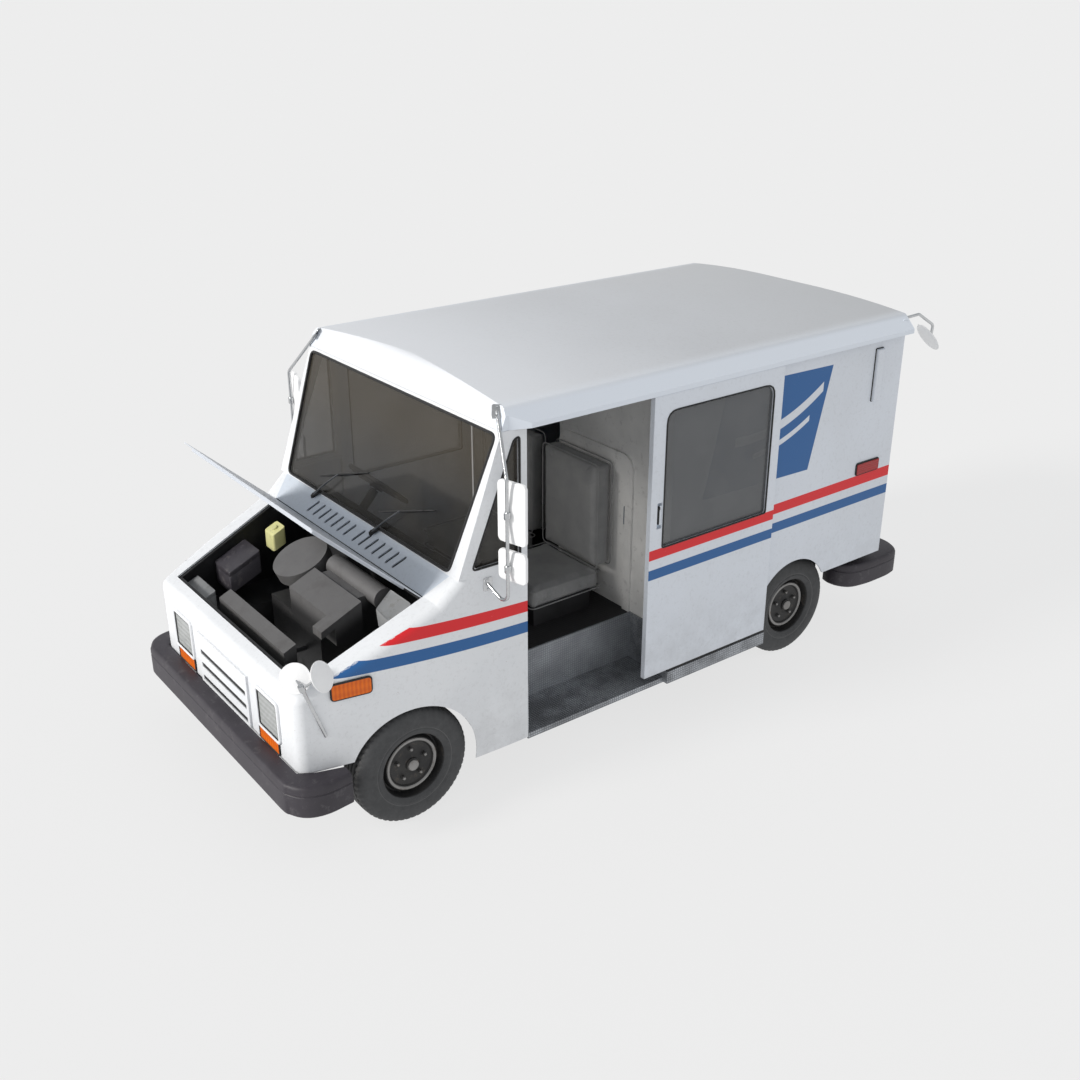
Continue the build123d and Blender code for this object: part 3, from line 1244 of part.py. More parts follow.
def make_engine_bay_liner():
    front_wall = HOOD_FRONT - 25
    rear = FLOOR_FRONT - FIREWALL
    lip_top = HOOD_SKIN + LIP_GAP
    with BuildPart() as liner:
        for side in (1, -1):
            wall = sorted((side * LINER_LOW_X, side * (LINER_LOW_X + LINER_WALL)))
            block(wall, (front_wall, rear), (LINER_BOTTOM, LINER_SHELF + LINER_WALL))
            near, far = side * (HOOD_HALF_FRONT + 8), side * (HOOD_HALF_REAR + 26)
            plan_cut([(side * LINER_LOW_X, front_wall), (near, front_wall), (far, rear),
                      (side * LINER_LOW_X, rear)], (LINER_SHELF, LINER_SHELF + LINER_WALL))
            thick = side * LINER_WALL
            plan_cut([(near - thick, front_wall), (near, front_wall), (far, rear),
                      (far - thick, rear)], (LINER_SHELF, BELT_HEIGHT))
        half = HOOD_HALF_FRONT + 8
        block((-half, half), (front_wall, front_wall + LINER_WALL), (LINER_SHELF, BELT_HEIGHT))
        block((-LINER_LOW_X, LINER_LOW_X), (front_wall, front_wall + LINER_WALL),
              (FLOOR_HEIGHT, LINER_SHELF))
        with BuildSketch(HOOD_PLANE.offset(-lip_top - LINER_WALL)):
            with Locations((0, 0)):
                Rectangle(3 * BODY_HALF_WIDTH, 3 * BODY_HALF_WIDTH)
        extrude(amount=BELT_HEIGHT, mode=Mode.SUBTRACT)
        with BuildSketch(HOOD_PLANE.offset(-lip_top - LINER_WALL)):
            add(hood_outline(8))
            add(hood_outline(-LIP_WIDTH), mode=Mode.SUBTRACT)
        extrude(amount=LINER_WALL)
    save(liner.part, "engine_bay_liner")


def hood_outline(grow):
    # plan of the hood opening on its slope, grown or shrunk all round
    with BuildSketch() as outline:
        with BuildLine():
            rear, front = HOOD_HALF_REAR + grow, HOOD_HALF_FRONT + grow
            low, high = -HOOD_LENGTH - grow, min(grow, 0)
            Polyline((-rear, high), (rear, high), (front, low), (-front, low), close=True)
        make_face()
    return outline.sketch


def make_engine():
    with BuildPart() as engine:
        side_cut([(ENGINE_FRONT, ENGINE_LOW), (ENGINE_FRONT, ENGINE_DECK), (ENGINE_REAR, ENGINE_DECK),
                  (ENGINE_REAR, ENGINE_LOW)], ENGINE_X)
        side_cut([(ENGINE_FRONT, ENGINE_DECK), (ENGINE_FRONT, bay_top(ENGINE_FRONT)), (5, bay_top(5)),
                  (5, ENGINE_DECK)], DUCT_X)
        side_cut([(-231, bay_top(-231) - 40), (-231, bay_top(-231)),
                  (ENGINE_FRONT, bay_top(ENGINE_FRONT)), (ENGINE_FRONT, bay_top(ENGINE_FRONT) - 40)],
                 (DUCT_X[1] - 90, DUCT_X[1]))
        height = bay_top(INTAKE_STATION) - INTAKE_RADIUS
        rod((DUCT_X[0] + 20, INTAKE_STATION, height), (DUCT_X[1] + 30, INTAKE_STATION, height),
            INTAKE_RADIUS)
        block((DUCT_X[0] + 60, DUCT_X[1] - 60), (0, INTAKE_STATION), (ENGINE_DECK, height))
        rod((FAN_X, ENGINE_FRONT - 1, FAN_HEIGHT), (FAN_X, ENGINE_FRONT + 60, FAN_HEIGHT),
            FAN_SHAFT + SHAFT_CLEARANCE, mode=Mode.SUBTRACT)
    save(engine.part, "engine")


def make_fan():
    with BuildPart() as fan:
        rod((FAN_X, FAN_STATION - 14, FAN_HEIGHT), (FAN_X, FAN_STATION + 14, FAN_HEIGHT), 46)
        rod((FAN_X, FAN_STATION, FAN_HEIGHT), (FAN_X, ENGINE_FRONT + 50, FAN_HEIGHT), FAN_SHAFT)
        for blade in range(FAN_BLADES):
            turn = blade * 360 / FAN_BLADES
            with BuildSketch(Plane.XZ.offset(-at(FAN_STATION - 6))):
                with Locations(Location((FAN_X, FAN_HEIGHT, 0), (0, 0, turn))):
                    with Locations((FAN_RADIUS / 2 + 14, 0)):
                        Rectangle(FAN_RADIUS - 28, 62)
            extrude(amount=-8)
    save(fan.part, "fan")


def make_bay_units():
    with BuildPart() as radiator:
        side_cut([(RADIATOR[0], LINER_BOTTOM + 100), (RADIATOR[0], bay_top(RADIATOR[0])),
                  (RADIATOR[1], bay_top(RADIATOR[1])), (RADIATOR[1], LINER_BOTTOM + 100)],
                 (-RADIATOR_HALF, RADIATOR_HALF))
    save(radiator.part, "radiator")
    with BuildPart() as air_cleaner:
        across, back = AIR_CLEANER
        down = (back - COWL_FRONT) / cos(radians(HOOD_SLOPE))
        with BuildSketch(HOOD_PLANE.offset(-BAY_DEPTH + 8)):
            with Locations((across, down)):
                Circle(AIR_CLEANER_RADIUS)
        extrude(amount=-AIR_CLEANER_DEPTH)
        rod((across, back, ENGINE_DECK), (across, back, bay_top(back) - 30), 52)
    save(air_cleaner.part, "air_cleaner")
    shelf = LINER_SHELF + LINER_WALL
    with BuildPart() as battery_and_tanks:
        side_cut([(-283, shelf), (-283, bay_top(-283)), (-90, bay_top(-90)), (-90, shelf)],
                 (-735, -531))
        block((-690, -580), (14, 96), (shelf, bay_top(14) + 8))
        block((-720, -470), (-475, -395), (shelf, bay_top(-475)))
    save(battery_and_tanks.part, "battery_and_tanks")


# ---------------------------------------------------------------- cab fittings
def column_point(back):
    lean = radians(WHEEL_LEAN)
    x, station, height = WHEEL_CENTRE
    return (x, station - back * sin(lean), height - back * cos(lean))


def make_dashboard():
    # dash shelf with the steering column jacket and the pedal pin
    front, rear, low, high = DASH
    with BuildPart() as dashboard:
        side_cut([(front, low), (front, high), (rear - 30, high), (rear, high - 40), (rear, low)],
                 (-DASH_HALF, DASH_HALF))
        rod(column_point(COLUMN_TOP), column_point(COLUMN_TOP + 220), COLUMN_RADIUS)
        station, height = PEDAL_PIVOT
        span = (BRAKE_X - 50, GAS_X + 50)
        rod((span[0], station, height), (span[1], station, height), PEDAL_PIN)
        for cheek in (span[0], (span[0] + span[1]) / 2 - 3, span[1] - 6):
            block((cheek, cheek + 6), (station - 16, station + 16), (height - 14, low))
        rod(column_point(COLUMN_TOP - 1), column_point(COLUMN_TOP + 40),
            COLUMN_SHAFT + SHAFT_CLEARANCE, mode=Mode.SUBTRACT)
    save(dashboard.part, "dashboard")


def make_steering_wheel():
    centre = Vector(WHEEL_CENTRE[0], at(WHEEL_CENTRE[1]), WHEEL_CENTRE[2])
    lean = radians(WHEEL_LEAN)
    facing = Plane(origin=centre, x_dir=(1, 0, 0), z_dir=(0, sin(lean), cos(lean)))
    with BuildPart() as steering_wheel:
        section = Plane(origin=centre, x_dir=(1, 0, 0), z_dir=(0, cos(lean), -sin(lean)))
        with BuildSketch(section):
            with Locations((WHEEL_RIM, 0)):
                Circle(WHEEL_GRIP)
        revolve(axis=Axis(centre, facing.z_dir))
        with BuildSketch(facing.offset(-34)):
            Circle(42)
        extrude(amount=30)
        for turn in (0, 180, 270):
            with BuildSketch(facing.offset(-24)):
                with Locations(Location((0, 0, 0), (0, 0, turn))):
                    with Locations(((WHEEL_RIM + 30) / 2, 0)):
                        Rectangle(WHEEL_RIM - 30, 30)
            extrude(amount=14)
        with BuildSketch(facing.offset(-COLUMN_TOP - 34)):
            Circle(COLUMN_SHAFT)
        extrude(amount=COLUMN_TOP + 10)
    save(steering_wheel.part, "steering_wheel")


def make_seat(left, name, raised):
    right = left - SEAT_WIDTH
    rear = SEAT_FRONT + SEAT_LENGTH
    with BuildPart() as base:
        inset = SEAT_BASE_INSET
        block((right + inset, left - inset), (SEAT_FRONT + inset, rear - inset),
              (FLOOR_HEIGHT + raised, SEAT_LOW - 1))
    save(base.part, f"{name}_seat_base")
    with BuildPart() as cushions:
        block((right, left), (SEAT_FRONT, rear), (SEAT_LOW, SEAT_TOP))
        block((right, left), (BACK_FRONT, BACK_FRONT + BACK_DEPTH), (SEAT_TOP + 2, BACK_TOP))
        fillet(cushions.edges(), SEAT_ROUND)
    save(cushions.part, f"{name}_seat_cushions")


def make_pedals():
    station, height = PEDAL_PIVOT
    for name, x, pad in (("brake_pedal", BRAKE_X, (44, 34)), ("accelerator_pedal", GAS_X, (24, 60))):
        with BuildPart() as pedal:
            rod((x - 12, station, height), (x + 12, station, height), PEDAL_PIN + 9)
            rod((x, station, height), (x, PEDAL_FOOT[0], PEDAL_FOOT[1]), 8)
            block((x - pad[0], x + pad[0]), (PEDAL_FOOT[0] - 4, PEDAL_FOOT[0] + 8),
                  (PEDAL_FOOT[1] - pad[1], PEDAL_FOOT[1] + pad[1]))
            rod((x - 14, station, height), (x + 14, station, height), PEDAL_PIN + SHAFT_CLEARANCE,
                mode=Mode.SUBTRACT)
        save(pedal.part, name)


os.makedirs("parts", exist_ok=True)
make_nose_shell()
make_grille()
make_cowl_panel()
make_cab_frame()
make_cab_glass()
make_roof()
make_cargo_sides()
make_rear_frame()
make_rear_curtain()
make_floor_pan()
make_step_plates()
make_bulkhead()
make_hood()
make_door(DOOR_FRONT + DOOR_TRAVEL, "left")
make_door(DOOR_FRONT, "right")
make_door_rails()
make_front_bumper()
make_rear_bumper()
make_headlamps()
make_amber_lamps()
make_red_lamps()
make_mirror_arms()
make_mirror_heads()
make_cross_view_discs()
make_tail_mirror()
make_wipers()
make_wheel(0, FRONT_TYRE_FACE, "front")
make_wheel(WHEELBASE, REAR_TYRE_FACE, "rear")
make_knuckles()
make_chassis_frame()
make_rear_axle()
make_tank_and_exhaust()
make_mudflaps()
make_engine_bay_liner()
make_engine()
make_fan()
make_bay_units()
make_dashboard()
make_steering_wheel()
make_seat(SEAT_LEFT_EDGE, "side", 0)
make_seat(DRIVER_LEFT_EDGE, "driver", SEAT_RUNNER)
make_pedals()
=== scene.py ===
from math import cos, pi, radians, sin, sqrt, tan
import bmesh
import bpy
import numpy as np
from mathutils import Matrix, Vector


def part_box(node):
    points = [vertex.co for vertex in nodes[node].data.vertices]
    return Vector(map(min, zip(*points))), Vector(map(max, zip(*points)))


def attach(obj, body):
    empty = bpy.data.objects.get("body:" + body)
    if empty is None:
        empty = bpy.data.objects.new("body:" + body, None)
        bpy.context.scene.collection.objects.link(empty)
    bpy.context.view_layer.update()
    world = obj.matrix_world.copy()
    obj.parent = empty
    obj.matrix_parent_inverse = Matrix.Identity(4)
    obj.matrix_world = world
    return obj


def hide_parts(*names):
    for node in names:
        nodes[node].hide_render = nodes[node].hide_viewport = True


# Mail delivery truck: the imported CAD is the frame, and the looks are built round it.
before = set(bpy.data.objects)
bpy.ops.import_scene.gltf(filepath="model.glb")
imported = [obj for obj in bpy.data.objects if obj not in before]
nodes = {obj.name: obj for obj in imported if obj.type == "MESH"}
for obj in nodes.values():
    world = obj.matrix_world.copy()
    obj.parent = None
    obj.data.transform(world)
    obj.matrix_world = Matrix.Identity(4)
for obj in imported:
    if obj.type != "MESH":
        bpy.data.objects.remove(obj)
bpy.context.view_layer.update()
scene = bpy.context.scene
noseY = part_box("front_bumper")[0].y + 0.686    # the front axle's place along Y
print("frame loaded", len(nodes), "nodes")


def at(station):
    return noseY + station    # station: metres behind the front axle


# shader maths: a number on a socket, and one way to add any other node
class Num:
    def __init__(self, paint, socket):
        self.paint, self.socket = paint, socket

    def op(self, kind, a, b=None):
        return self.paint.node("Math", {"operation": kind}, [a] if b is None else [a, b])

    def __add__(self, other): return self.op("ADD", self, other)
    def __radd__(self, other): return self.op("ADD", other, self)
    def __sub__(self, other): return self.op("SUBTRACT", self, other)
    def __rsub__(self, other): return self.op("SUBTRACT", other, self)
    def __mul__(self, other): return self.op("MULTIPLY", self, other)
    def __rmul__(self, other): return self.op("MULTIPLY", other, self)
    def __abs__(self): return self.op("ABSOLUTE", self)
    def most(self, other): return self.op("MAXIMUM", self, other)
    def wave(self): return self.op("SINE", self)

    def over(self, edge, soft=0.002):    # 0 below the edge, 1 above it, smooth between
        settings = {"interpolation_type": "SMOOTHSTEP"}
        low, high = (edge - soft, edge + soft)
        return self.paint.node("MapRange", settings, [self, low, high, 0.0, 1.0], "Result")

    def under(self, edge, soft=0.002):
        return 1 - self.over(edge, soft)

    def between(self, low, high, soft=0.002):
        return self.over(low, soft) * self.under(high, soft)


class Paint:
    def __init__(self, name, color=(0.5, 0.5, 0.5), rough=0.5, metal=0.0, **sockets):
        self.mat = bpy.data.materials.new(name)
        self.mat.use_nodes = True
        self.tree = self.mat.node_tree
        self.shader = self.tree.nodes["Principled BSDF"]
        self.shader.inputs["Base Color"].default_value = (*color, 1.0)[:4]
        self.shader.inputs["Roughness"].default_value = rough
        self.shader.inputs["Metallic"].default_value = metal
        for key, value in sockets.items():
            self.shader.inputs[key.replace("_", " ")].default_value = value
        self.where = None

    def node(self, kind, settings=None, values=(), out=0):
        made = self.tree.nodes.new("ShaderNode" + kind)
        for key, value in (settings or {}).items():
            setattr(made, key, value)
        pairs = values.items() if isinstance(values, dict) else enumerate(values)
        for key, value in pairs:
            socket = made.inputs[key]
            if isinstance(value, Num):
                self.tree.links.new(value.socket, socket)
            else:
                socket.default_value = value
        return Num(self, made.outputs[out])

    def place(self):    # object coordinates, and their three numbers
        if self.where is None:
            self.where = self.node("TexCoord", out="Object")
            split = self.node("SeparateXYZ", values=[self.where]).socket.node
            self.xyz = [Num(self, split.outputs[i]) for i in range(3)]
        return self.where

    def axes(self):
        self.place()
        return self.xyz[0], self.xyz[1] - noseY, self.xyz[2]

    def noise(self, scale, detail=3.0, rough=0.55):
        values = {"Vector": self.place(), "Scale": scale, "Detail": detail, "Roughness": rough}
        return self.node("TexNoise", values=values)

    def cells(self, scale):
        return self.node("TexVoronoi", {"feature": "F1"}, {"Vector": self.place(), "Scale": scale},
                         "Distance")

    def tint(self, mask, base, other):    # colour base where the mask is 0, other where it is 1
        values = {0: mask, 6: base, 7: other}
        fixed = {key: (*v, 1.0)[:4] if not isinstance(v, Num) else v for key, v in values.items() if key}
        return self.node("Mix", {"data_type": "RGBA"}, {0: mask, **fixed}, 2)

    def finish(self, color=None, rough=None, bump=None, depth=0.0005, alpha=None):
        for key, value in (("Base Color", color), ("Roughness", rough), ("Alpha", alpha)):
            if value is not None:
                self.tree.links.new(value.socket, self.shader.inputs[key])
        if bump is not None:
            values = {"Strength": 1.0, "Distance": depth, "Height": bump}
            normal = self.node("Bump", values=values)
            self.tree.links.new(normal.socket, self.shader.inputs["Normal"])
        return self.mat


# mesh maths: rings of points, skinned with quads
def quads(rings, around, closed=True, first=0):
    # quad indices between neighbouring rings of `around` points, as one array
    r, c = np.meshgrid(np.arange(rings - 1), np.arange(around if closed else around - 1), indexing="ij")
    a = r * around + c
    b = r * around + (c + 1) % around
    return (np.stack([a, b, b + around, a + around], -1).reshape(-1, 4) + first).tolist()


def loft(rings, capped=True, looped=False):
    # a skin over rings (m, n, 3), closed round n, its ends capped or joined to each other
    rings = np.asarray(rings, float)
    m, n = rings.shape[:2]
    if looped:
        rings, m = np.concatenate([rings, rings[:1]]), m + 1
    faces = quads(m, n)
    if looped:
        last = (m - 1) * n
        faces = [[i - last if i >= last else i for i in f] for f in faces]
        rings, m = rings[:-1], m - 1
    elif capped:
        faces += [list(range(n))[::-1], list(range((m - 1) * n, m * n))]
    return rings.reshape(-1, 3), faces


def roundedRect(width, height, radius, steps=5):
    # corner arcs of one radius, walked anticlockwise
    t = np.linspace(0, pi / 2, steps)
    corners = [(1, 1, 0), (-1, 1, 1), (-1, -1, 2), (1, -1, 3)]
    parts = [np.stack([sx * (width / 2 - radius) + radius * np.cos(t + q * pi / 2),
                       sy * (height / 2 - radius) + radius * np.sin(t + q * pi / 2)], -1) for sx, sy,
             q in corners]
    return np.concatenate(parts)


def basis(normal, up=(0, 0, 1)):
    # right, up and out directions for a flat piece that faces along normal
    n = np.array(normal, float) / np.linalg.norm(normal)
    r = np.cross(up, n)
    r = r / np.linalg.norm(r)
    return r, np.cross(n, r), n


def spread(flat, origin, normal, up=(0, 0, 1), out=0.0):
    # flat (n, 2) points laid in the plane through origin, lifted by out
    r, u, n = basis(normal, up)
    return np.array(origin) + flat[:, :1] * r + flat[:, 1:] * u + np.asarray(out) * n


def slab(outline, origin, normal, depth, edge=0.002, up=(0, 0, 1), steps=4):
    # outline pulled out along the normal, its front edge rolled over by a quarter circle
    t = np.linspace(0, pi / 2, steps)
    size = np.abs(outline).max(0)
    shrink = [1 - edge * (1 - np.cos(a)) / size for a in t]
    rings = [spread(outline, origin, normal, up, 0.0)]
    rings += [spread(outline * s, origin, normal, up, depth - edge + edge * np.sin(a)) for a,
              s in zip(t, shrink)]
    return loft(rings)


def turned(profile, origin, axis, around=48, closed=False, up=(0, 0, 1)):
    # profile of (radius, along) pairs turned about the axis
    r, u, n = basis(axis, up)
    p = np.array(profile, float)
    a = np.linspace(0, 2 * pi, around, endpoint=False)
    spokes = np.cos(a)[:, None] * r + np.sin(a)[:, None] * u
    rings = np.array(origin) + p[:, None, :1] * spokes[None] + p[:, None, 1:] * n
    return loft(rings, looped=closed)


def smoothPath(points, per=8, closed=False):
    # Catmull-Rom curve through the points
    p = np.array(points, float)
    if closed:
        p = np.concatenate([p[-1:], p, p[:2]])
    else:
        p = np.concatenate([2 * p[:1] - p[1:2], p, 2 * p[-1:] - p[-2:-1]])
    t = np.linspace(0, 1, per, endpoint=False)[:, None]
    a, b, c, d = p[:-3, None], p[1:-2, None], p[2:-1, None], p[3:, None]
    square, cube = 2 * a - 5 * b + 4 * c - d, 3 * b - a - 3 * c + d
    curve = 0.5 * (2 * b + (c - a) * t + square * t ** 2 + cube * t ** 3)
    curve = curve.reshape(-1, 3)
    return curve if closed else np.concatenate([curve, p[-2:-1]])


def sweep(path, section, closed=False, up=(0, 0, 1)):
    # section (n, 2) carried along the path, its second axis kept near up
    path = np.asarray(path, float)
    ahead = np.roll(path, -1, 0) - np.roll(path, 1, 0) if closed else np.gradient(path, axis=0)
    t = ahead / np.linalg.norm(ahead, axis=1, keepdims=True)
    side = np.cross(t, np.array(up, float))
    side = side / np.maximum(np.linalg.norm(side, axis=1, keepdims=True), 1e-9)
    top = np.cross(side, t)
    rings = path[:, None] + section[None, :, :1] * side[:, None] + section[None, :, 1:] * top[:, None]
    return loft(rings, looped=closed)


def circle(radius, sides=10, flat=1.0):
    a = np.linspace(0, 2 * pi, sides, endpoint=False)
    return np.stack([radius * np.cos(a), radius * flat * np.sin(a)], -1)


def cord(path, radius, up):
    # a thin round bead along a closed path
    return sweep(path, circle(radius, 8), closed=True, up=up)


def build(name, parts, material, body, sharp=35, stands=()):
    # one object from several skins, faces turned outwards
    verts, faces, first = [], [], 0
    for v, f in parts:
        verts.append(np.asarray(v, float))
        faces += [[i + first for i in face] for face in f]
        first += len(v)
    mesh = bpy.data.meshes.new(name)
    mesh.from_pydata(np.concatenate(verts).tolist(), [], faces)
    bm = bmesh.new()
    bm.from_mesh(mesh)
    bmesh.ops.recalc_face_normals(bm, faces=bm.faces)
    bm.to_mesh(mesh)
    bm.free()
    mesh.shade_smooth()
    mesh.set_sharp_from_angle(angle=radians(sharp))
    mesh.materials.append(material)
    made = bpy.data.objects.new(name, mesh)
    scene.collection.objects.link(made)
    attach(made, body)
    if stands:
        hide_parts(*stands)
    return made


def paintNodes(material, *names):
    for name in names:
        slots = nodes[name].data.materials
        slots.clear()
        slots.append(material)


# finishes
# side, hood and roof are the same white paint in darker tones as painted shade; the roof's front and rear
# tones are painted light and shade, and the eave tone is painted pale blue sky light
white = {"clean": (0.74, 0.755, 0.775), "side": (0.66, 0.695, 0.75), "hood": (0.52, 0.55, 0.60),
         "roof": (0.50, 0.515, 0.54), "roofFrontLit": (0.76, 0.78, 0.815), "roofRearShade": (0.42, 0.43, 0.44),
         "eave": (0.70, 0.745, 0.81), "chalky": (0.58, 0.60, 0.63), "grime": (0.16, 0.145, 0.13),
         "red": (0.66, 0.012, 0.018), "blue": (0.016, 0.105, 0.30), "rust": (0.20, 0.085, 0.035)}


def aged(p, base, dirtLow=0.55):
    # soft chalking, few small chips, and a thin film of road dirt that thickens downwards
    z = p.axes()[2]
    cloud = p.noise(1.7, 4.0, 0.5)
    color = p.tint((cloud - 0.40) * 1.2, base, white["chalky"])
    mottle = p.noise(48.0, 4.0, 0.7)
    color = p.tint(mottle.over(0.60, 0.10) * 0.10, color, white["grime"])
    chip = p.cells(31.0).under(0.055, 0.02) * p.noise(7.0, 2.0).over(0.60, 0.05)
    color = p.tint(chip * 0.55, color, white["rust"])
    low = z.under(dirtLow, 0.28) * p.noise(9.0, 6.0, 0.7).over(0.50, 0.20)
    color = p.tint(low * 0.16, color, white["grime"])
    rough = 0.36 + cloud * 0.16 + low * 0.2
    bump = p.noise(3.4, 2.0, 0.4) + mottle * 0.02 - chip * 0.05
    return color, rough, bump


def bandAt(s, z, low, high, tip=None):
    # a stripe between two lines, each (height at station 0, rise per metre), with a slanted front tip
    band = (z - s * low[1]).over(low[0], 0.0012) * (z - s * high[1]).under(high[0], 0.0012)
    if tip:
        (s0, z0), (s1, z1) = tip
        slope = (s1 - s0) / (z1 - z0)
        band = band * (s - z * slope).over(s0 - z0 * slope, 0.0015)
    return band


def bodyPaint(name, stripes, dirtLow=0.55, tone=None, depth=0.0012):
    p = Paint(name, white["clean"], 0.4, Coat_Weight=0.10, Coat_Roughness=0.25, Specular_IOR_Level=0.35)
    color, rough, bump = aged(p, tone or white["clean"], dirtLow)
    x, s, z = p.axes()
    if name == "roofPaint":    # painted light: brighter in front, darker behind, and pale blue sky light along the eaves
        color = p.tint(s.under(1.15, 1.0) * 0.8, color, white["roofFrontLit"])
        color = p.tint(s.over(2.9, 1.2) * 0.7, color, white["roofRearShade"])
        color = p.tint(z.under(2.105, 0.02) * abs(x).over(0.86, 0.04), color, white["eave"])
    facing = p.node("SeparateXYZ", values=[p.node("NewGeometry", out="True Normal")])
    reach = {"nose": 0.60, "door": 0.984}.get(stripes[0] if stripes else "", 0.9505)
    side = (facing * x).over(0.50, 0.05) * abs(x).over(reach, 0.002)    # only where the skin looks outwards
    wear = 1 - p.noise(90.0, 4.0, 0.7).over(0.70, 0.02) * 0.18
    if "nose" in stripes:
        red = bandAt(s, z, (1.0455, -0.0502), (1.1134, -0.0591), ((-0.150, 1.053), (0.006, 1.113)))
        blue = bandAt(s, z, (0.9245, -0.0458), (0.9907, -0.0506), ((-0.403, 0.943), (-0.283, 1.005)))
    elif "door" in stripes:
        red, blue = z.between(1.078, 1.137, 0.0012), z.between(0.960, 1.020, 0.0012)
    else:
        red = bandAt(s, z, (1.0691, 0.0054), (1.1203, 0.0102))
        blue = bandAt(s, z, (0.9521, 0.0048), (1.0103, 0.0059))
    if stripes:
        color = p.tint(red * side * wear, color, white["red"])
        color = p.tint(blue * side * wear, color, white["blue"])
    if "panel" in stripes:    # a plain slanted blue panel with two white sweeps
        lean = (s - z * 0.236)
        panel = lean.between(1.56, 2.418, 0.0015) * (z + s * 0.02).between(1.357, 1.972, 0.0015)
        sweep1 = (z - 1.60 - (s - 2.2) * (s - 2.2) * 0.55)
        mark = sweep1.between(-0.028, 0.028, 0.002) * s.between(2.1, 2.80)
        mark = mark.most((sweep1 + 0.11).between(-0.017, 0.017, 0.002) * s.between(2.25, 2.70))
        color = p.tint(panel * side * wear * (1 - mark), color, white["blue"])
    return p.finish(color, rough, bump, depth)


def plain(name, dark, light, rough=0.5, metal=0.0, grain=60.0, depth=0.0003, scuff=None, **sockets):
    # two tones in a cloud, fine grain in the relief, and scuffed patches
    p = Paint(name, dark, rough, metal, **sockets)
    cloud = p.noise(7.0, 4.0, 0.6)
    color = p.tint((cloud - 0.35) * 1.8, dark, light)
    fine = p.noise(grain, 3.0, 0.6)
    worn = p.noise(19.0, 6.0, 0.72).over(0.60, 0.05)
    if scuff:
        color = p.tint(worn * 0.5, color, scuff)
    return p.finish(color, rough - 0.08 + cloud * 0.16 + worn * 0.06, fine, depth)


nosePaint = bodyPaint("nosePaint", ["nose"])
# the doors and sides take a darker, bluer tone of the white as painted shade
doorPaint = bodyPaint("doorPaint", ["door"], 0.60, white["side"])
sidePaint = bodyPaint("sidePaint", ["side", "panel"], 0.70, white["side"])
# the roof takes a darker tone of the white as painted shade
roofPaint = bodyPaint("roofPaint", [], 0.1, white["roof"], 0.0015)
plainPaint = bodyPaint("plainPaint", [], 0.5)
# the hood takes a darker grey-blue tone of the white as painted shade
hoodPaint = bodyPaint("hoodPaint", [], 0.1, white["hood"], 0.0001)
# the cowl takes a darker, bluer tone of the white as painted shade
cowlPaint = bodyPaint("cowlPaint", [], 0.1, (0.55, 0.61, 0.69))

bumperPlastic = plain("bumperPlastic", (0.024, 0.020, 0.027), (0.046, 0.041, 0.050), 0.55, 0.0, 240.0,
                      0.0002,
                      scuff=(0.085, 0.08, 0.086))
blackSteel = plain("blackSteel", (0.018, 0.018, 0.02), (0.05, 0.048, 0.045), 0.6, 0.2, 90.0, 0.0004,
                   (0.09, 0.07, 0.05))
bayBlack = plain("bayBlack", (0.006, 0.006, 0.007), (0.022, 0.022, 0.024), 0.6, 0.0, 120.0, 0.0003)
hoodLine = {"station": 0.153, "height": 1.191, "slope": 23.46, "under": 0.068}


def engineFinish():
    # cast tops that sit just under the hood line stay grey, and everything deeper is painted near black as
    # shade in the bay
    p = Paint("engineCast", (0.12, 0.12, 0.12), 0.6, 0.15)
    s, z = p.axes()[1:]
    drop = (s - hoodLine["station"]) * tan(radians(hoodLine["slope"])) + hoodLine["height"] - z
    deep = drop.over(0.13, 0.05)
    grain = p.noise(210.0, 3.0, 0.65)
    color = p.tint(grain * 0.5 + p.noise(7.0, 4.0) * 0.5, (0.085, 0.083, 0.083), (0.150, 0.147, 0.147))
    # painted shade: near black deeper under the hood line
    color = p.tint(deep * 0.88, color, (0.010, 0.010, 0.011))
    stain = p.noise(6.0, 5.0, 0.6).over(0.58, 0.10)
    color = p.tint(stain * 0.25, color, (0.04, 0.036, 0.032))
    return p.finish(color, 0.55 + stain * 0.15, grain + stain * 0.5, 0.0006)


engineCast = engineFinish()
cleanerGrey = plain("cleanerGrey", (0.105, 0.103, 0.103), (0.150, 0.147, 0.146), 0.5, 0.1, 180.0, 0.0002)
panelGrey = plain("panelGrey", (0.60, 0.595, 0.58), (0.74, 0.73, 0.71), 0.55, 0.0, 300.0, 0.0002,
                  (0.42, 0.41, 0.40))
dashPlastic = plain("dashPlastic", (0.022, 0.022, 0.024), (0.04, 0.04, 0.042), 0.55, 0.0, 420.0, 0.0004)
rubberBlack = plain("rubberBlack", (0.012, 0.012, 0.013), (0.03, 0.03, 0.03), 0.75, 0.0, 200.0, 0.0003)
steelTube = plain("steelTube", (0.5, 0.51, 0.52), (0.68, 0.69, 0.70), 0.22, 1.0, 300.0, 0.00005)
mirrorShell = plain("mirrorShell", (0.84, 0.845, 0.85), (0.92, 0.922, 0.925), 0.4, 0.0, 200.0, 0.0001,
                    Coat_Weight=0.15)
rimSteel = plain("rimSteel", (0.022, 0.022, 0.023), (0.055, 0.053, 0.05), 0.5, 0.4, 150.0, 0.0003,
                 (0.10, 0.085, 0.07))
nutSteel = plain("nutSteel", (0.22, 0.215, 0.21), (0.36, 0.355, 0.35), 0.42, 0.9, 200.0, 0.0002,
                 (0.12, 0.08, 0.05))
mirrorGlass = plain("mirrorGlass", (0.62, 0.65, 0.68), (0.68, 0.70, 0.72), 0.12, 1.0, 3.0, 0.0)


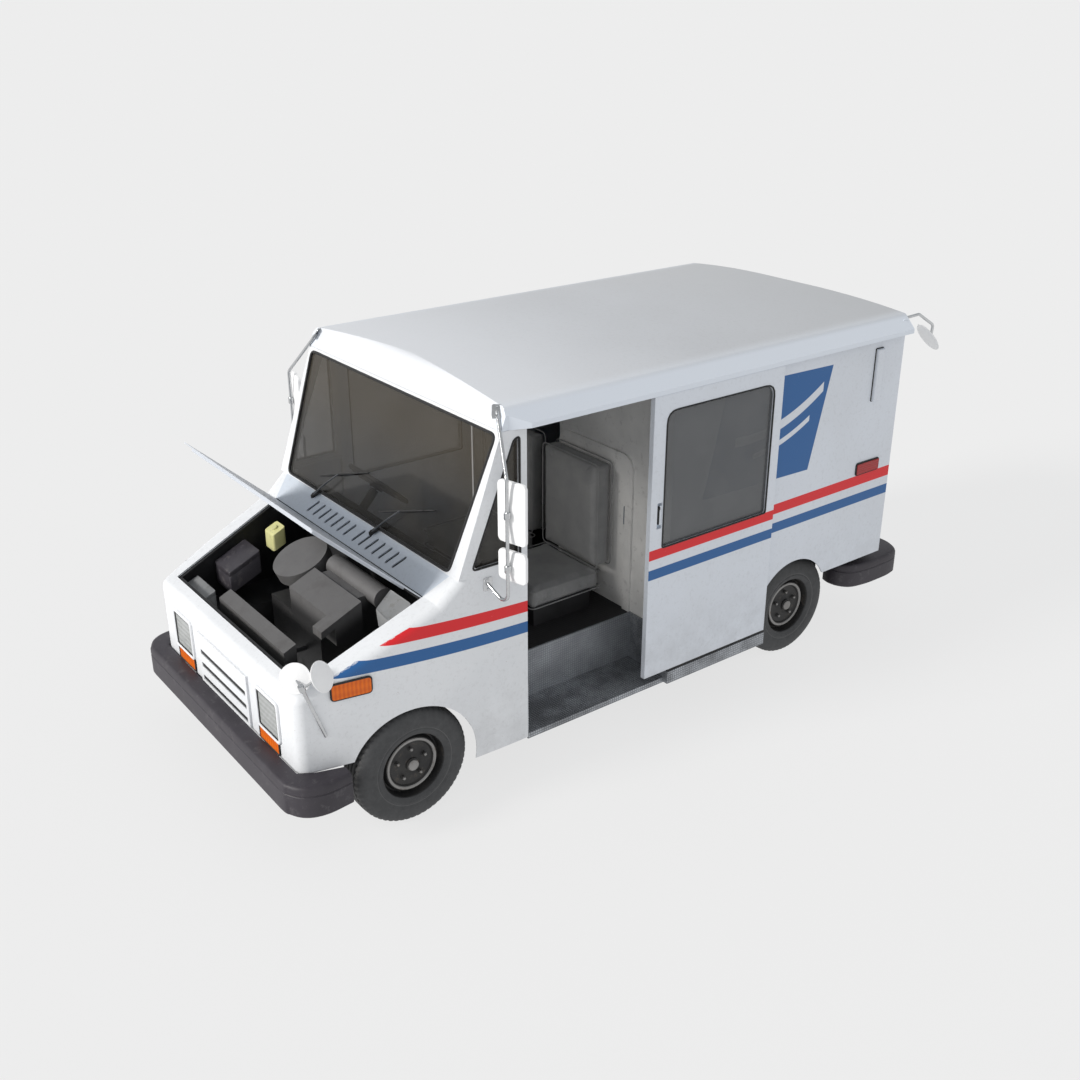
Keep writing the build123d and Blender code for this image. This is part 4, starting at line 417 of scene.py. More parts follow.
def glassFinish(name, color, alpha, tone):
    p = Paint(name, color, 0.06, 0.0, IOR=1.5)
    haze = p.noise(3.0, 5.0, 0.6)
    z = p.axes()[2]
    color = p.tint((haze - 0.3) * 1.5, color, tone)
    if name == "screenGlass":    # a warm tint band across the top of the windscreen
        color = p.tint(z.over(1.72, 0.16) * 0.8, color, (0.052, 0.040, 0.022))
    return p.finish(color, 0.05 + haze * 0.08, alpha=alpha + (haze - 0.5) * 0.22)


screenGlass = glassFinish("screenGlass", (0.018, 0.017, 0.016), 0.50, (0.060, 0.053, 0.040))
doorGlass = glassFinish("doorGlass", (0.12, 0.125, 0.13), 0.66, (0.16, 0.165, 0.17))

paintNodes(nosePaint, "nose_shell")
paintNodes(plainPaint, "grille", "cab_frame", "rear_frame", "rear_curtain")
paintNodes(hoodPaint, "hood")
paintNodes(cowlPaint, "cowl_panel")
paintNodes(roofPaint, "roof")
paintNodes(sidePaint, "left_cargo_side", "right_cargo_side")
paintNodes(doorPaint, "left_door", "right_door")
paintNodes(screenGlass, "cab_glass")
paintNodes(doorGlass, "left_door_glass", "right_door_glass")
paintNodes(bumperPlastic, "front_bumper", "rear_bumper")
paintNodes(blackSteel, "chassis_frame", "rear_axle", "left_knuckle", "right_knuckle", "fuel_tank",
           "door_rails")
paintNodes(bayBlack, "engine_bay_liner", "fan", "battery_and_tanks", "side_seat_base", "driver_seat_base")
paintNodes(engineCast, "engine", "radiator")
paintNodes(cleanerGrey, "air_cleaner")
paintNodes(panelGrey, "bulkhead")
paintNodes(dashPlastic, "dashboard", "steering_wheel")
paintNodes(rubberBlack, "mudflaps", "left_wiper", "right_wiper", "brake_pedal", "accelerator_pedal")
paintNodes(steelTube, "mirror_arms", "exhaust")
paintNodes(mirrorShell, "left_mirror_heads", "right_mirror_heads", "cross_view_discs", "rear_view_disc")
paintNodes(rimSteel, "left_front_rim", "right_front_rim", "left_rear_rim", "right_rear_rim")


def treadPlate():
    # raised diamonds in two leanings, rubbed bright on top, dark grit between, and painted glints
    p = Paint("treadPlate", (0.1, 0.1, 0.105), 0.5, 0.6)
    x, s, z = p.axes()
    a, b = (s + x + z) * 210.0, (s - x - z) * 210.0
    lozenge = (a.wave() * b.wave()).over(0.35, 0.3)
    grit = p.noise(170.0, 4.0, 0.7)
    # painted glints: scattered bright specks standing for reflected light
    paintedGlints = p.noise(420.0, 2.0, 0.8).over(0.50, 0.10)
    color = p.tint(lozenge * 0.35 + grit * 0.35 + paintedGlints * 0.45, (0.030, 0.033, 0.040), (0.66, 0.69, 0.73))
    color = p.tint(p.noise(6.0, 5.0).over(0.5, 0.15) * 0.5, color, (0.05, 0.05, 0.052))
    riser = z.over(0.286, 0.002) * abs(x).between(0.62, 0.66)
    color = p.tint(riser * 0.45, color, (0.34, 0.36, 0.39))
    return p.finish(color, 0.62 - lozenge * 0.2, lozenge + grit * 0.35, 0.0010)


def floorMat():
    p = Paint("floorMat", (0.012, 0.012, 0.013), 0.7)
    rib = (p.axes()[0] * 330.0).wave()
    grit = p.noise(90.0, 4.0, 0.7)
    color = p.tint(grit * 0.6, (0.006, 0.006, 0.007), (0.03, 0.03, 0.031))
    return p.finish(color, 0.6 + grit * 0.2, rib * 0.4 + grit, 0.0008)


def lampFinish(name, deep, bright, pitch, metal=0.0, rough=0.25):
    # moulded flutes across the lens, painted into the colour as stripes of highlight and shade, with a
    # faint cloud
    p = Paint(name, bright, rough, metal, Coat_Weight=0.12, Coat_Roughness=0.12, Specular_IOR_Level=0.3)
    x, s, z = p.axes()
    flute = ((abs(x) + s) * pitch).wave() * 0.5 + 0.5
    cross = (z * pitch * 0.5).wave() * 0.5 + 0.5
    cloud = p.noise(24.0, 3.0)
    # painted highlight and shade along the flutes
    color = p.tint(flute * 0.5 + cross * 0.25 + cloud * 0.25, deep, bright)
    return p.finish(color, rough + cloud * 0.1, flute + cross * 0.5, 0.0014)


paintNodes(treadPlate(), "step_plates")
paintNodes(floorMat(), "floor_pan")
amberLens = lampFinish("amberLens", (0.55, 0.085, 0.003), (0.80, 0.165, 0.004), 260.0)
redLens = lampFinish("redLens", (0.22, 0.008, 0.01), (0.50, 0.03, 0.03), 900.0)
clearLens = lampFinish("clearLens", (0.30, 0.31, 0.31), (0.62, 0.64, 0.63), 420.0, 0.35, 0.16)
paintNodes(amberLens, "amber_lamps")
paintNodes(redLens, "red_lamps")
paintNodes(clearLens, "headlamps")
print("finishes done")

# floor, light and camera
studio = {"floor": 0.80, "zenith": 0.50, "horizon": 0.74, "edge": 0.835, "key": 2.75, "soft": 14.0,
          "lens": 41.093,
          "camera": (5.407, -2.6315, 3.9119), "yaw": 52.8, "pitch": 24.3, "sun": (0.16, 0.88, -0.44),
          "sunColor": (1.0, 0.975, 0.94), "reach": 600.0}


def makeStudio():
    mesh = bpy.data.meshes.new("floor")
    size = studio["reach"]
    mesh.from_pydata([(-size, -size, 0), (size, -size, 0), (size, size, 0), (-size, size, 0)], [],
                     [(0, 1, 2, 3)])
    floor = bpy.data.objects.new("floor", mesh)
    scene.collection.objects.link(floor)
    p = Paint("floorPaint", (0.8, 0.8, 0.8), 0.9)
    p.shader.inputs["Specular IOR Level"].default_value = 0.0
    p.shader.inputs["Base Color"].default_value = (0.12, 0.12, 0.12, 1)
    p.shader.inputs["Emission Color"].default_value = (1, 1, 1, 1)
    p.shader.inputs["Emission Strength"].default_value = studio["floor"] - 0.07
    mesh.materials.append(p.mat)
    world = bpy.data.worlds.new("studio")
    scene.world = world
    world.use_nodes = True
    tree = world.node_tree
    coord = tree.nodes.new("ShaderNodeTexCoord")
    split = tree.nodes.new("ShaderNodeSeparateXYZ")
    ramp = tree.nodes.new("ShaderNodeValToRGB")
    tree.links.new(coord.outputs["Generated"], split.inputs[0])
    tree.links.new(split.outputs[2], ramp.inputs[0])
    tree.links.new(ramp.outputs[0], tree.nodes["Background"].inputs[0])
    h, t = studio["horizon"], studio["zenith"]
    ramp.color_ramp.elements[0].color = (studio["edge"],) * 3 + (1,)
    ramp.color_ramp.elements.new(0.14).color = (studio["edge"],) * 3 + (1,)
    ramp.color_ramp.elements.new(0.26).color = (h * 0.96, h * 0.985, h * 1.02, 1)
    ramp.color_ramp.elements[3].color = (t * 0.97, t * 0.985, t, 1)
    light = bpy.data.lights.new("key", "SUN")
    light.energy, light.angle = studio["key"], radians(studio["soft"])
    light.color = studio["sunColor"]
    lamp = bpy.data.objects.new("key", light)
    lamp.rotation_mode = "QUATERNION"
    lamp.rotation_quaternion = Vector(studio["sun"]).to_track_quat("-Z", "Y")
    scene.collection.objects.link(lamp)
    camData = bpy.data.cameras.new("camera")
    camData.lens, camData.sensor_width = studio["lens"], 36.0
    camData.clip_end = 3000.0
    cam = bpy.data.objects.new("camera", camData)
    camX, camStation, camZ = studio["camera"]
    cam.location = (camX, at(camStation), camZ)
    yaw, pitch = radians(studio["yaw"]), radians(studio["pitch"])
    look = Vector((-sin(yaw) * cos(pitch), cos(yaw) * cos(pitch), -sin(pitch)))
    cam.rotation_mode = "QUATERNION"
    cam.rotation_quaternion = look.to_track_quat("-Z", "Y")
    scene.collection.objects.link(cam)
    scene.camera = cam
    scene.view_settings.view_transform = "Standard"


makeStudio()
print("studio done")

# wheels: tyre, steel disc, grey ring, nuts and cap
wheel = {"tyre": 0.324, "width": 0.195, "base": 2.812, "faces": (0.907, 0.839), "ring": (0.1285, 0.1465),
         "nutCircle": 0.084, "nuts": 5,
         "lugs": 58, "lugDepth": 0.005, "around": 232}


def tyreFinish():
    # smooth sidewall with faint moulded rings, a painted highlight on one ring, and dust in the tread
    p = Paint("tyreRubber", (0.03, 0.03, 0.031), 0.75)
    radius = p.node("Attribute", {"attribute_name": "reach"}, out="Fac")
    dust = p.noise(26.0, 5.0, 0.65)
    color = p.tint((dust - 0.35) * 1.6, (0.040, 0.041, 0.043), (0.080, 0.081, 0.083))
    rings = radius.between(0.2165, 0.2195, 0.0006)
    # painted highlight: a thin light ring on the moulded sidewall ridge
    color = p.tint(rings * 0.28, color, (0.22, 0.22, 0.215))
    color = p.tint(radius.over(0.316, 0.003) * dust * 0.5, color, (0.10, 0.095, 0.09))
    line = (radius * 2400.0).wave() * radius.between(0.226, 0.246, 0.002)
    return p.finish(color, 0.62 + dust * 0.2, line * 0.5 + dust, 0.0004)


def makeTyre(name, side, face, station, body, node):
    w, around = wheel["width"], wheel["around"]
    half = [(0.012, 0.180), (0.005, 0.192), (0.001, 0.207), (0.0035, 0.2165), (0.0015, 0.220), (0.0, 0.240),
            (0.001, 0.262), (0.004, 0.283), (0.010, 0.300), (0.019, 0.312), (0.030, 0.3195)]
    tread = [(0.040, 0.3222), (0.052, 0.3232), (0.0535, 0.3165), (0.0605, 0.3165), (0.062, 0.3236),
             (0.078, 0.324),
             (0.0795, 0.3168), (0.0865, 0.3168), (0.088, 0.324)]
    front = np.array(half + tread)
    back = front[::-1] * (-1, 1) + (w, 0)
    inner = np.array([(w - 0.03, 0.176), (0.03, 0.176)])
    profile = np.concatenate([front, back, inner])
    a = np.linspace(0, 2 * pi, around, endpoint=False)
    across, reach = profile[:, 0], profile[:, 1]
    # lugs: the tread's edges step in by a few mm in a slanted comb
    comb = (np.sin(a[None] * wheel["lugs"] + (across[:, None] - w / 2) * 60.0) > 0.35)
    edge = (np.abs(across - w / 2) > 0.040) & (reach > 0.305)
    reach2 = reach[:, None] - wheel["lugDepth"] * comb * edge[:, None]
    x = side * (face - across)[:, None] + 0 * a[None]
    rings = np.stack([x, at(station) + reach2 * np.sin(a)[None], wheel["tyre"] + reach2 * np.cos(a)[None]],
                     -1)
    part = loft(rings, looped=True)
    made = build(name, [part], tyreRubber, body, 28, [node])
    co = np.zeros(len(made.data.vertices) * 3, np.float32)
    made.data.vertices.foreach_get("co", co)
    co = co.reshape(-1, 3)
    far = np.hypot(co[:, 1] - at(station), co[:, 2] - wheel["tyre"])
    made.data.attributes.new("reach", "FLOAT", "POINT").data.foreach_set("value", far.astype(np.float32))


def makeWheel(corner, side, face, station):
    body = corner + "_wheel"
    makeTyre(corner + "Tyre", side, face, station, body, corner + "_tyre")
    hub, out = np.array((0.0, at(station), wheel["tyre"])), (side, 0, 0)
    base = hub + np.array((side * face, 0, 0))
    disc = [(0.0, -0.024), (0.030, -0.024), (0.0365, -0.027), (0.038, -0.036), (0.052, -0.044),
            (0.066, -0.049),
            (0.112, -0.050), (0.121, -0.047), (0.1275, -0.037), (0.148, -0.037), (0.153, -0.050),
            (0.160, -0.063),
            (0.168, -0.064), (0.1745, -0.050), (0.176, -0.026), (0.180, -0.014), (0.187, -0.008),
            (0.193, -0.009),
            (0.194, -0.014), (0.180, -0.020), (0.178, -0.185), (0.170, -0.187), (0.166, -0.090),
            (0.150, -0.072),
            (0.030, -0.062), (0.0, -0.062)]
    build(corner + "Disc", [turned(disc, base, out, 72)], rimSteel, body, 32, [corner + "_rim"])
    lo, hi = wheel["ring"]
    ring = [(lo, -0.0372), (lo + 0.003, -0.0335), (hi - 0.003, -0.0335), (hi, -0.0372)]
    trim = [turned(ring, base, out, 72, closed=True)]
    cap = [(0.0, -0.012), (0.018, -0.0125), (0.028, -0.015), (0.031, -0.019), (0.0315, -0.026),
           (0.0, -0.026)]
    trim.append(turned(cap, base, out, 36))
    r, u, n = basis(out)
    for i in range(wheel["nuts"]):
        a = 2 * pi * i / wheel["nuts"] + 0.31
        spot = base + wheel["nutCircle"] * (cos(a) * r + sin(a) * u)
        nut = [(0.0, -0.028), (0.0065, -0.0285), (0.0098, -0.031), (0.0112, -0.034), (0.0112, -0.0485),
               (0.0, -0.0485)]
        trim.append(turned(nut, spot, out, 6))
    build(corner + "Trim", trim, nutSteel, body, 30)


tyreRubber = tyreFinish()
for end, face, station in (("_front", wheel["faces"][0], 0.0), ("_rear", wheel["faces"][1], wheel["base"])):
    makeWheel("left" + end, 1, face, station)
    makeWheel("right" + end, -1, face, station)
print("wheels done")

# lamps: bezels, rims, and a dark slab behind the grille as painted shade
lamp = {"bezel": 0.010, "headlamp": (0.409, 0.625, 0.557, 0.761), "turn": (0.403, 0.613, 0.476, 0.549),
        "face": -0.582, "tail": (0.79, 0.90, 0.93, 1.11), "back": 3.504,
        "reflector": (3.180, 3.379, 1.163, 1.229), "marker": (-0.308, 0.878)}
# half widths, and where the nose's curve runs
shell = {"side": 0.9525, "nose": 0.81, "curve": (-0.582, 0.6)}


def rimPath(width, height, radius, origin, normal, out=0.0):
    return spread(roundedRect(width, height, radius), origin, normal, out=out)


def bezel(rect, station, radius, tube, normal=(0, -1, 0), out=0.0, grow=0.0):
    x0, x1, z0, z1 = rect
    path = rimPath(x1 - x0 + grow, z1 - z0 + grow, radius, ((x0 + x1) / 2, at(station), (z0 + z1) / 2),
                   normal, out)
    return cord(path, tube, normal)


def lampRect(name, side):
    x0, x1, z0, z1 = lamp[name]
    return tuple(sorted((side * x0, side * x1))) + (z0, z1)


whiteRims, darkRims = [], []
for side in (1, -1):
    rect = lampRect("headlamp", side)
    whiteRims.append(bezel(rect, lamp["face"], 0.018, lamp["bezel"], out=0.003, grow=0.014))
    darkRims.append(bezel(rect, lamp["face"], 0.012, 0.0035, out=0.005, grow=-0.010))
    rect = lampRect("turn", side)
    darkRims.append(bezel(rect, lamp["face"], 0.010, 0.0055, out=0.004, grow=0.004))
    rect = lampRect("tail", side)
    darkRims.append(bezel(rect, lamp["back"], 0.010, 0.006, (0, 1, 0), 0.003, 0.006))
    s0, s1, z0, z1 = lamp["reflector"]
    path = rimPath(s1 - s0 + 0.006, z1 - z0 + 0.006, 0.012,
                   (side * shell["side"], at((s0 + s1) / 2), (z0 + z1) / 2),
                   (side, 0, 0), 0.003)
    darkRims.append(cord(path, 0.006, (side, 0, 0)))
swell = shell["side"] - shell["nose"]
noseRadius = (swell ** 2 + (shell["curve"][1] - shell["curve"][0]) ** 2) / (2 * swell)


def flank(station):    # the nose's curved side: half width and outward direction
    run = max(shell["curve"][1] - station, 0.0)
    half = shell["side"] - noseRadius + sqrt(noseRadius ** 2 - run ** 2)
    return half, (sqrt(1 - (run / noseRadius) ** 2), -run / noseRadius, 0)


half, out = flank(lamp["marker"][0])
for side in (1, -1):
    normal = (side * out[0], out[1], 0)
    path = rimPath(0.199, 0.084, 0.016, (side * half, at(lamp["marker"][0]), lamp["marker"][1]), normal,
                   0.006)
    darkRims.append(cord(path, 0.0065, normal))
build("lampBezels", whiteRims, plainPaint, "truck_body", 40)
build("lampRims", darkRims, rubberBlack, "truck_body", 40)
# painted shade: a dark slab behind the grille
shadeSlab = slab(roundedRect(0.545, 0.245, 0.004), (0, at(-0.5515), 0.60), (0, -1, 0), 0.006)
build("grilleShadeSlab", [shadeSlab], bayBlack, "truck_body")
print("lamps done")

# window gaskets
screen = {"rake": 19.9, "foot": (0.267, 1.294), "head": 1.979, "low": 0.85, "high": 0.918}
rake = radians(screen["rake"])
glassOut = (0, -cos(rake), sin(rake))


def onScreen(x, up, lift=0.0):    # a point in the plane of the windscreen, lifted off it
    x, up, lift = np.broadcast_arrays(np.asarray(x, float), np.asarray(up, float), np.asarray(lift, float))
    station, height = screen["foot"]
    return np.stack([x, at(station) + up * sin(rake) - lift * cos(rake),
                     height + up * cos(rake) + lift * sin(rake)], -1)


def roundedLoop(corners, radius, steps=5):
    # each corner of a flat polygon replaced by a curve that starts and ends one radius from it
    c = np.array(corners, float)
    before, after = np.roll(c, 1, 0) - c, np.roll(c, -1, 0) - c
    before /= np.linalg.norm(before, axis=1, keepdims=True)
    after /= np.linalg.norm(after, axis=1, keepdims=True)
    r = np.broadcast_to(np.asarray(radius, float), len(c))[:, None, None]
    t = np.linspace(0, 1, steps)[None, :, None]
    a, b = c[:, None] + before[:, None] * r, c[:, None] + after[:, None] * r
    return ((1 - t) ** 2 * a + 2 * t * (1 - t) * c[:, None] + t ** 2 * b).reshape(-1, 2)


top = (screen["head"] - screen["foot"][1]) / cos(rake)
low, high = screen["low"], screen["high"]
loop = roundedLoop([(-low, 0.014), (low, 0.014), (high, top), (-high, top)], 0.038)
gaskets = [cord(onScreen(loop[:, 0], loop[:, 1], 0.001), 0.0075, glassOut)]
quarter = roundedLoop([(0.344, 1.330), (0.628, 1.330), (0.628, 1.956), (0.596, 1.956)],
                      (0.026, 0.013, 0.013, 0.026))
for side in (1, -1):
    halves = np.minimum([flank(s)[0] for s in quarter[:, 0]], shell["side"]) - 0.001
    path = np.stack([side * halves, at(quarter[:, 0]), quarter[:, 1]], -1)
    gaskets.append(cord(path, 0.006, (side, 0, 0)))
build("windowGaskets", gaskets, rubberBlack, "truck_body", 45)

door = {"starts": (1.457, 0.671), "gaskets": (0.990, 0.960), "length": 0.962,
        "window": (0.090, 0.073, 1.136, 1.906), "corner": (0.014, 0.014, 0.07, 0.07)}
latchPlate = plain("latchPlate", (0.30, 0.36, 0.44), (0.42, 0.48, 0.56), 0.4, 0.6, 90.0, 0.0002,
                   (0.16, 0.16, 0.17))


def dressDoor(name, side, front):
    near, far, low, high = door["window"]
    s0, s1 = front + near, front + door["length"] - far
    outline = roundedLoop([(s0, low), (s1, low), (s1, high), (s0, high)], door["corner"])
    parts = []
    for x in door["gaskets"]:
        path = np.stack([0 * outline[:, 0] + side * x, at(outline[:, 0]), outline[:, 1]], -1)
        parts.append(cord(path, 0.005, (side, 0, 0)))
    build(name + "Gasket", parts, rubberBlack, name + "_door", 45)
    middle = front + 0.062
    plate = slab(roundedRect(0.030, 0.146, 0.004), (side * 0.978, at(middle), 1.330), (side, 0, 0), 0.002)
    build(name + "LatchPlate", [plate], latchPlate, name + "_door")
    lever = [slab(roundedRect(0.010, 0.086, 0.004), (side * 0.980, at(middle - 0.003), 1.322), (side, 0, 0),
                  0.009),
             slab(roundedRect(0.017, 0.020, 0.004), (side * 0.980, at(middle - 0.003), 1.372), (side, 0, 0),
                  0.010)]
    build(name + "LatchLever", lever, rubberBlack, name + "_door")


dressDoor("left", 1, door["starts"][0])
dressDoor("right", -1, door["starts"][1])
print("doors done")

# wipers: bent steel arms with spring covers, and slim blades on a bridge
wiper = {"pivots": (("right_wiper", -0.494), ("left_wiper", 0.155)), "arm": 0.275, "armAngle": 42.6,
         "blade": 0.49, "bladeAngle": 19.0, "lead": 0.034, "foot": -0.020}
darkChrome = plain("darkChrome", (0.16, 0.165, 0.17), (0.30, 0.305, 0.31), 0.25, 1.0, 200.0, 0.00005)
for node, px in wiper["pivots"]:
    a, b = radians(wiper["armAngle"]), radians(wiper["bladeAngle"])
    foot = wiper["foot"]
    tx, tu = px + wiper["arm"] * cos(a), foot + wiper["arm"] * sin(a)
    t = np.linspace(0, 1, 12)
    arm = onScreen(px + (tx - px) * t, foot + (tu - foot) * t, 0.020 + 0.010 * np.sin(pi * t))
    normal = glassOut
    name = node.replace("_wiper", "Wiper")
    build(name + "Arm", [sweep(arm, circle(0.0045, 8), up=normal)], darkChrome, node, 45)
    cover = onScreen(px + (tx - px) * np.array([-0.06, 0.0, 0.18, 0.22]),
                     foot + (tu - foot) * np.array([-0.06, 0.0, 0.18, 0.22]), 0.016)
    block = [sweep(cover, roundedRect(0.024, 0.018, 0.005, 3), up=normal)]
    block.append(turned([(0.0, 0.026), (0.009, 0.026), (0.015, 0.022), (0.016, -0.006), (0.0, -0.006)],
                        onScreen(px, foot, 0.0), normal, 20))
    cx, cu = tx + wiper["lead"] * cos(b), tu + wiper["lead"] * sin(b)
    t = np.linspace(-0.5, 0.5, 17)
    along = wiper["blade"] * t
    rubber = onScreen(cx + along * cos(b), cu + along * sin(b), 0.004)
    block.append(sweep(rubber, roundedRect(0.006, 0.008, 0.0015, 3), up=normal))
    bridge = onScreen(cx + along * 0.62 * cos(b), cu + along * 0.62 * sin(b),
                      0.011 + 0.007 * np.cos(pi * t))
    block.append(sweep(bridge, roundedRect(0.008, 0.005, 0.001, 3), up=normal))
    build(name + "Blade", block, rubberBlack, node, 40, [node])
print("wipers done")

# mirrors: tapered backs, glass, clamps and feet
mirror = {"rod": (1.100, 0.445), "toe": 15.0, "width": 0.170, "heads": ((1.489, 1.804), (1.290, 1.450)),
          "depth": 0.048, "corner": 0.024}


def makeMirrors(sideName, side):
    lean = radians(mirror["toe"])
    outward = np.array((sin(lean) * side, -cos(lean), 0.0))    # the back looks forwards and out
    rodX, rodS = mirror["rod"]
    backs, faces = [], []
    for low, high in mirror["heads"]:
        tall, mid = high - low, (low + high) / 2
        outline = roundedRect(mirror["width"], tall, mirror["corner"], 6)
        centre = np.array((side * rodX, at(rodS), mid)) - outward * mirror["depth"]
        steps = [(1.0, 0.0), (1.0, 0.012), (0.985, 0.016), (0.93, 0.019), (0.72, 0.0235), (0.42, 0.0285),
                 (0.20, 0.032), (0.10, 0.034)]
        shrink = np.array([(s, max(s, 0.18) if tall < 0.2 else s * 0.86 + 0.14) for s, d in steps])
        rings = [spread(outline * (sx, sy), centre, outward, out=d) for (s, d),
                 (sx, sy) in zip(steps, shrink)]
        backs.append(loft(rings))
        glass = roundedRect(mirror["width"] - 0.012, tall - 0.012, mirror["corner"] - 0.004, 6)
        faces.append(slab(glass, centre, -outward, 0.0025, 0.001))
    build(sideName + "MirrorBacks", backs, mirrorShell, sideName + "_mirrors", 30,
          [sideName + "_mirror_heads"])
    build(sideName + "MirrorGlass", faces, mirrorGlass, sideName + "_mirrors", 30)
    clamps = []
    for low, high in mirror["heads"]:
        spot = (side * rodX, at(rodS), (low + high) / 2)
        clamps.append(turned([(0.0093, -0.018), (0.0150, -0.018), (0.0165, -0.015), (0.0165, 0.015),
                              (0.0150, 0.018), (0.0093, 0.018)],
                             spot, (0, 0, 1), 20, closed=True, up=(0, 1, 0)))
    build(sideName + "MirrorClamps", clamps, steelTube, sideName + "_mirrors", 35)
    feet = []
    for x, s, z, normal in ((0.892, 0.542, 2.082, (0.55, -0.45, 0.6)),
                            (0.949, 0.430, 1.238, (1, -0.13, 0))):
        n = np.array((normal[0] * side, normal[1], normal[2]))
        feet.append(slab(roundedRect(0.050, 0.072, 0.008), (side * x, at(s), z), n, 0.006))
        r, u, m = basis(n)
        for v in (-0.026, 0.026):
            bolt = [(0.0, 0.012), (0.004, 0.0115), (0.0065, 0.009), (0.0065, 0.005), (0.0, 0.005)]
            feet.append(turned(bolt, np.array((side * x, at(s), z)) + u * v, n, 12))
    build(sideName + "MirrorFeet", feet, steelTube, "truck_body", 35)


makeMirrors("left", 1)
makeMirrors("right", -1)


def lens(centre, normal, radius, thick, around=48):
    # shallow dome in front, rolled rim, flatter dome behind
    t = np.linspace(0, 1, 9)
    front = [(radius * 0.94 * r, thick * (0.62 + 0.38 * (1 - r * r))) for r in t]
    rim = [(radius * 0.975, thick * 0.66), (radius, thick * 0.5), (radius * 0.975, thick * 0.34)]
    back = [(radius * 0.95 * r, thick * 0.38 * r * r) for r in t[::-1]]
    return turned(front + rim + back, centre, normal, around)


def row(point):    # x, station and height as a place in the row frame
    return np.array((point[0], at(point[1]), point[2]))


discs = (((0.788, -0.548, 0.978), (0.73, -0.55, 0.41)), ((0.965, -0.505, 1.054), (0.77, 0.45, 0.45)))
foot, tip = np.array((0.850, -0.448, 0.655)), np.array((0.862, -0.560, 0.978))
along = (tip - foot) / np.linalg.norm(tip - foot)
grip = tip - along * 0.018
lenses, joints = [], [turned([(0.0093, -0.018), (0.0145, -0.018), (0.016, -0.014), (0.016, 0.014),
                              (0.0145, 0.018), (0.0093, 0.018)],
                             row(grip), along, 20, closed=True)]
for centre, normal in discs:
    lenses.append(lens(row(centre), normal, 0.075, 0.016))
    n = np.array(normal) / np.linalg.norm(normal)
    end = np.array(centre) + n * 0.002
    path = np.stack([row(grip + (end - grip) * t) for t in np.linspace(0.08, 1, 6)])
    joints.append(sweep(path, circle(0.006, 10), up=(0.1, 0.3, 1)))
    joints.append(turned([(0.0, -0.006), (0.010, -0.006), (0.014, 0.0), (0.016, 0.004), (0.0, 0.004)],
                         row(centre), n, 20))
build("crossViewLenses", lenses, mirrorShell, "cross_view_mirrors", 40,
      ["cross_view_discs"])
build("crossViewClamp", joints, steelTube, "cross_view_mirrors", 40)
tailLook = np.array((-0.27, -0.78, -0.56))
n = tailLook / np.linalg.norm(tailLook)
centre = np.array((0.905, 3.800, 1.916))
build("tailLens", [lens(row(centre - n * 0.006), n, 0.0975, 0.012)], mirrorShell, "tail_mirror",
      40, ["rear_view_disc"])
print("mirrors done")

# seats: padded blocks with piping
seat = {"cushion": ((-0.020, 0.500), (1.035, 1.545), (0.700, 0.825)),
        "back": ((-0.020, 0.500), (1.495, 1.619), (0.827, 1.470)),
        "shrink": 0.008, "voxel": 0.006, "pressure": 4.0, "cap": 0.010, "round": 0.018, "frames": 20,
        "driverShift": -0.620}


def seatVinyl():
    # woven vinyl: two crossed ribs, soft soiling where people sit
    p = Paint("seatVinyl", (0.10, 0.10, 0.098), 0.6, Sheen_Weight=0.15)
    x, s, z = p.axes()
    ribs = ((x + s) * 2100.0).wave() * ((z + s * 0.7 - x * 0.7) * 2100.0).wave()
    cloud = p.noise(8.0, 5.0, 0.62)
    color = p.tint((cloud - 0.3) * 1.6, (0.185, 0.187, 0.19), (0.285, 0.285, 0.28))
    worn = p.noise(3.2, 3.0).over(0.52, 0.12) * s.between(1.12, 1.46, 0.05) * z.over(0.80, 0.02)
    color = p.tint(worn * 0.45, color, (0.075, 0.078, 0.082))
    color = p.tint(p.noise(70.0, 3.0, 0.7).over(0.62, 0.06) * 0.3, color, (0.20, 0.20, 0.195))
    return p.finish(color, 0.5 + cloud * 0.18, ribs * 0.4 + cloud * 0.8 + p.noise(34.0, 3.0) * 0.5, 0.0007)


seatCover = seatVinyl()


def padShape(box):
    (x0, x1), (s0, s1), (z0, z1) = box
    k = seat["shrink"]
    lo, hi = np.array((x0 + k, at(s0) + k, z0 + k)), np.array((x1 - k, at(s1) - k, z1 - k))
    size, mid, r = hi - lo, (lo + hi) / 2, seat["round"]
    t = np.linspace(0, pi / 2, 5)
    levels = [(-size[2] / 2 + r - r * cos(a), r * (1 - sin(a))) for a in t]
    levels += [(size[2] / 2 - r + r * sin(a), r * (1 - cos(a))) for a in t]
    rings = []
    for z, inset in levels:
        flat = roundedRect(size[0] - 2 * inset, size[1] - 2 * inset, max(r * 1.6 - inset, 0.004), 5)
        rings.append(np.column_stack([flat + mid[:2], np.full(len(flat), mid[2] + z)]))
    return loft(rings)


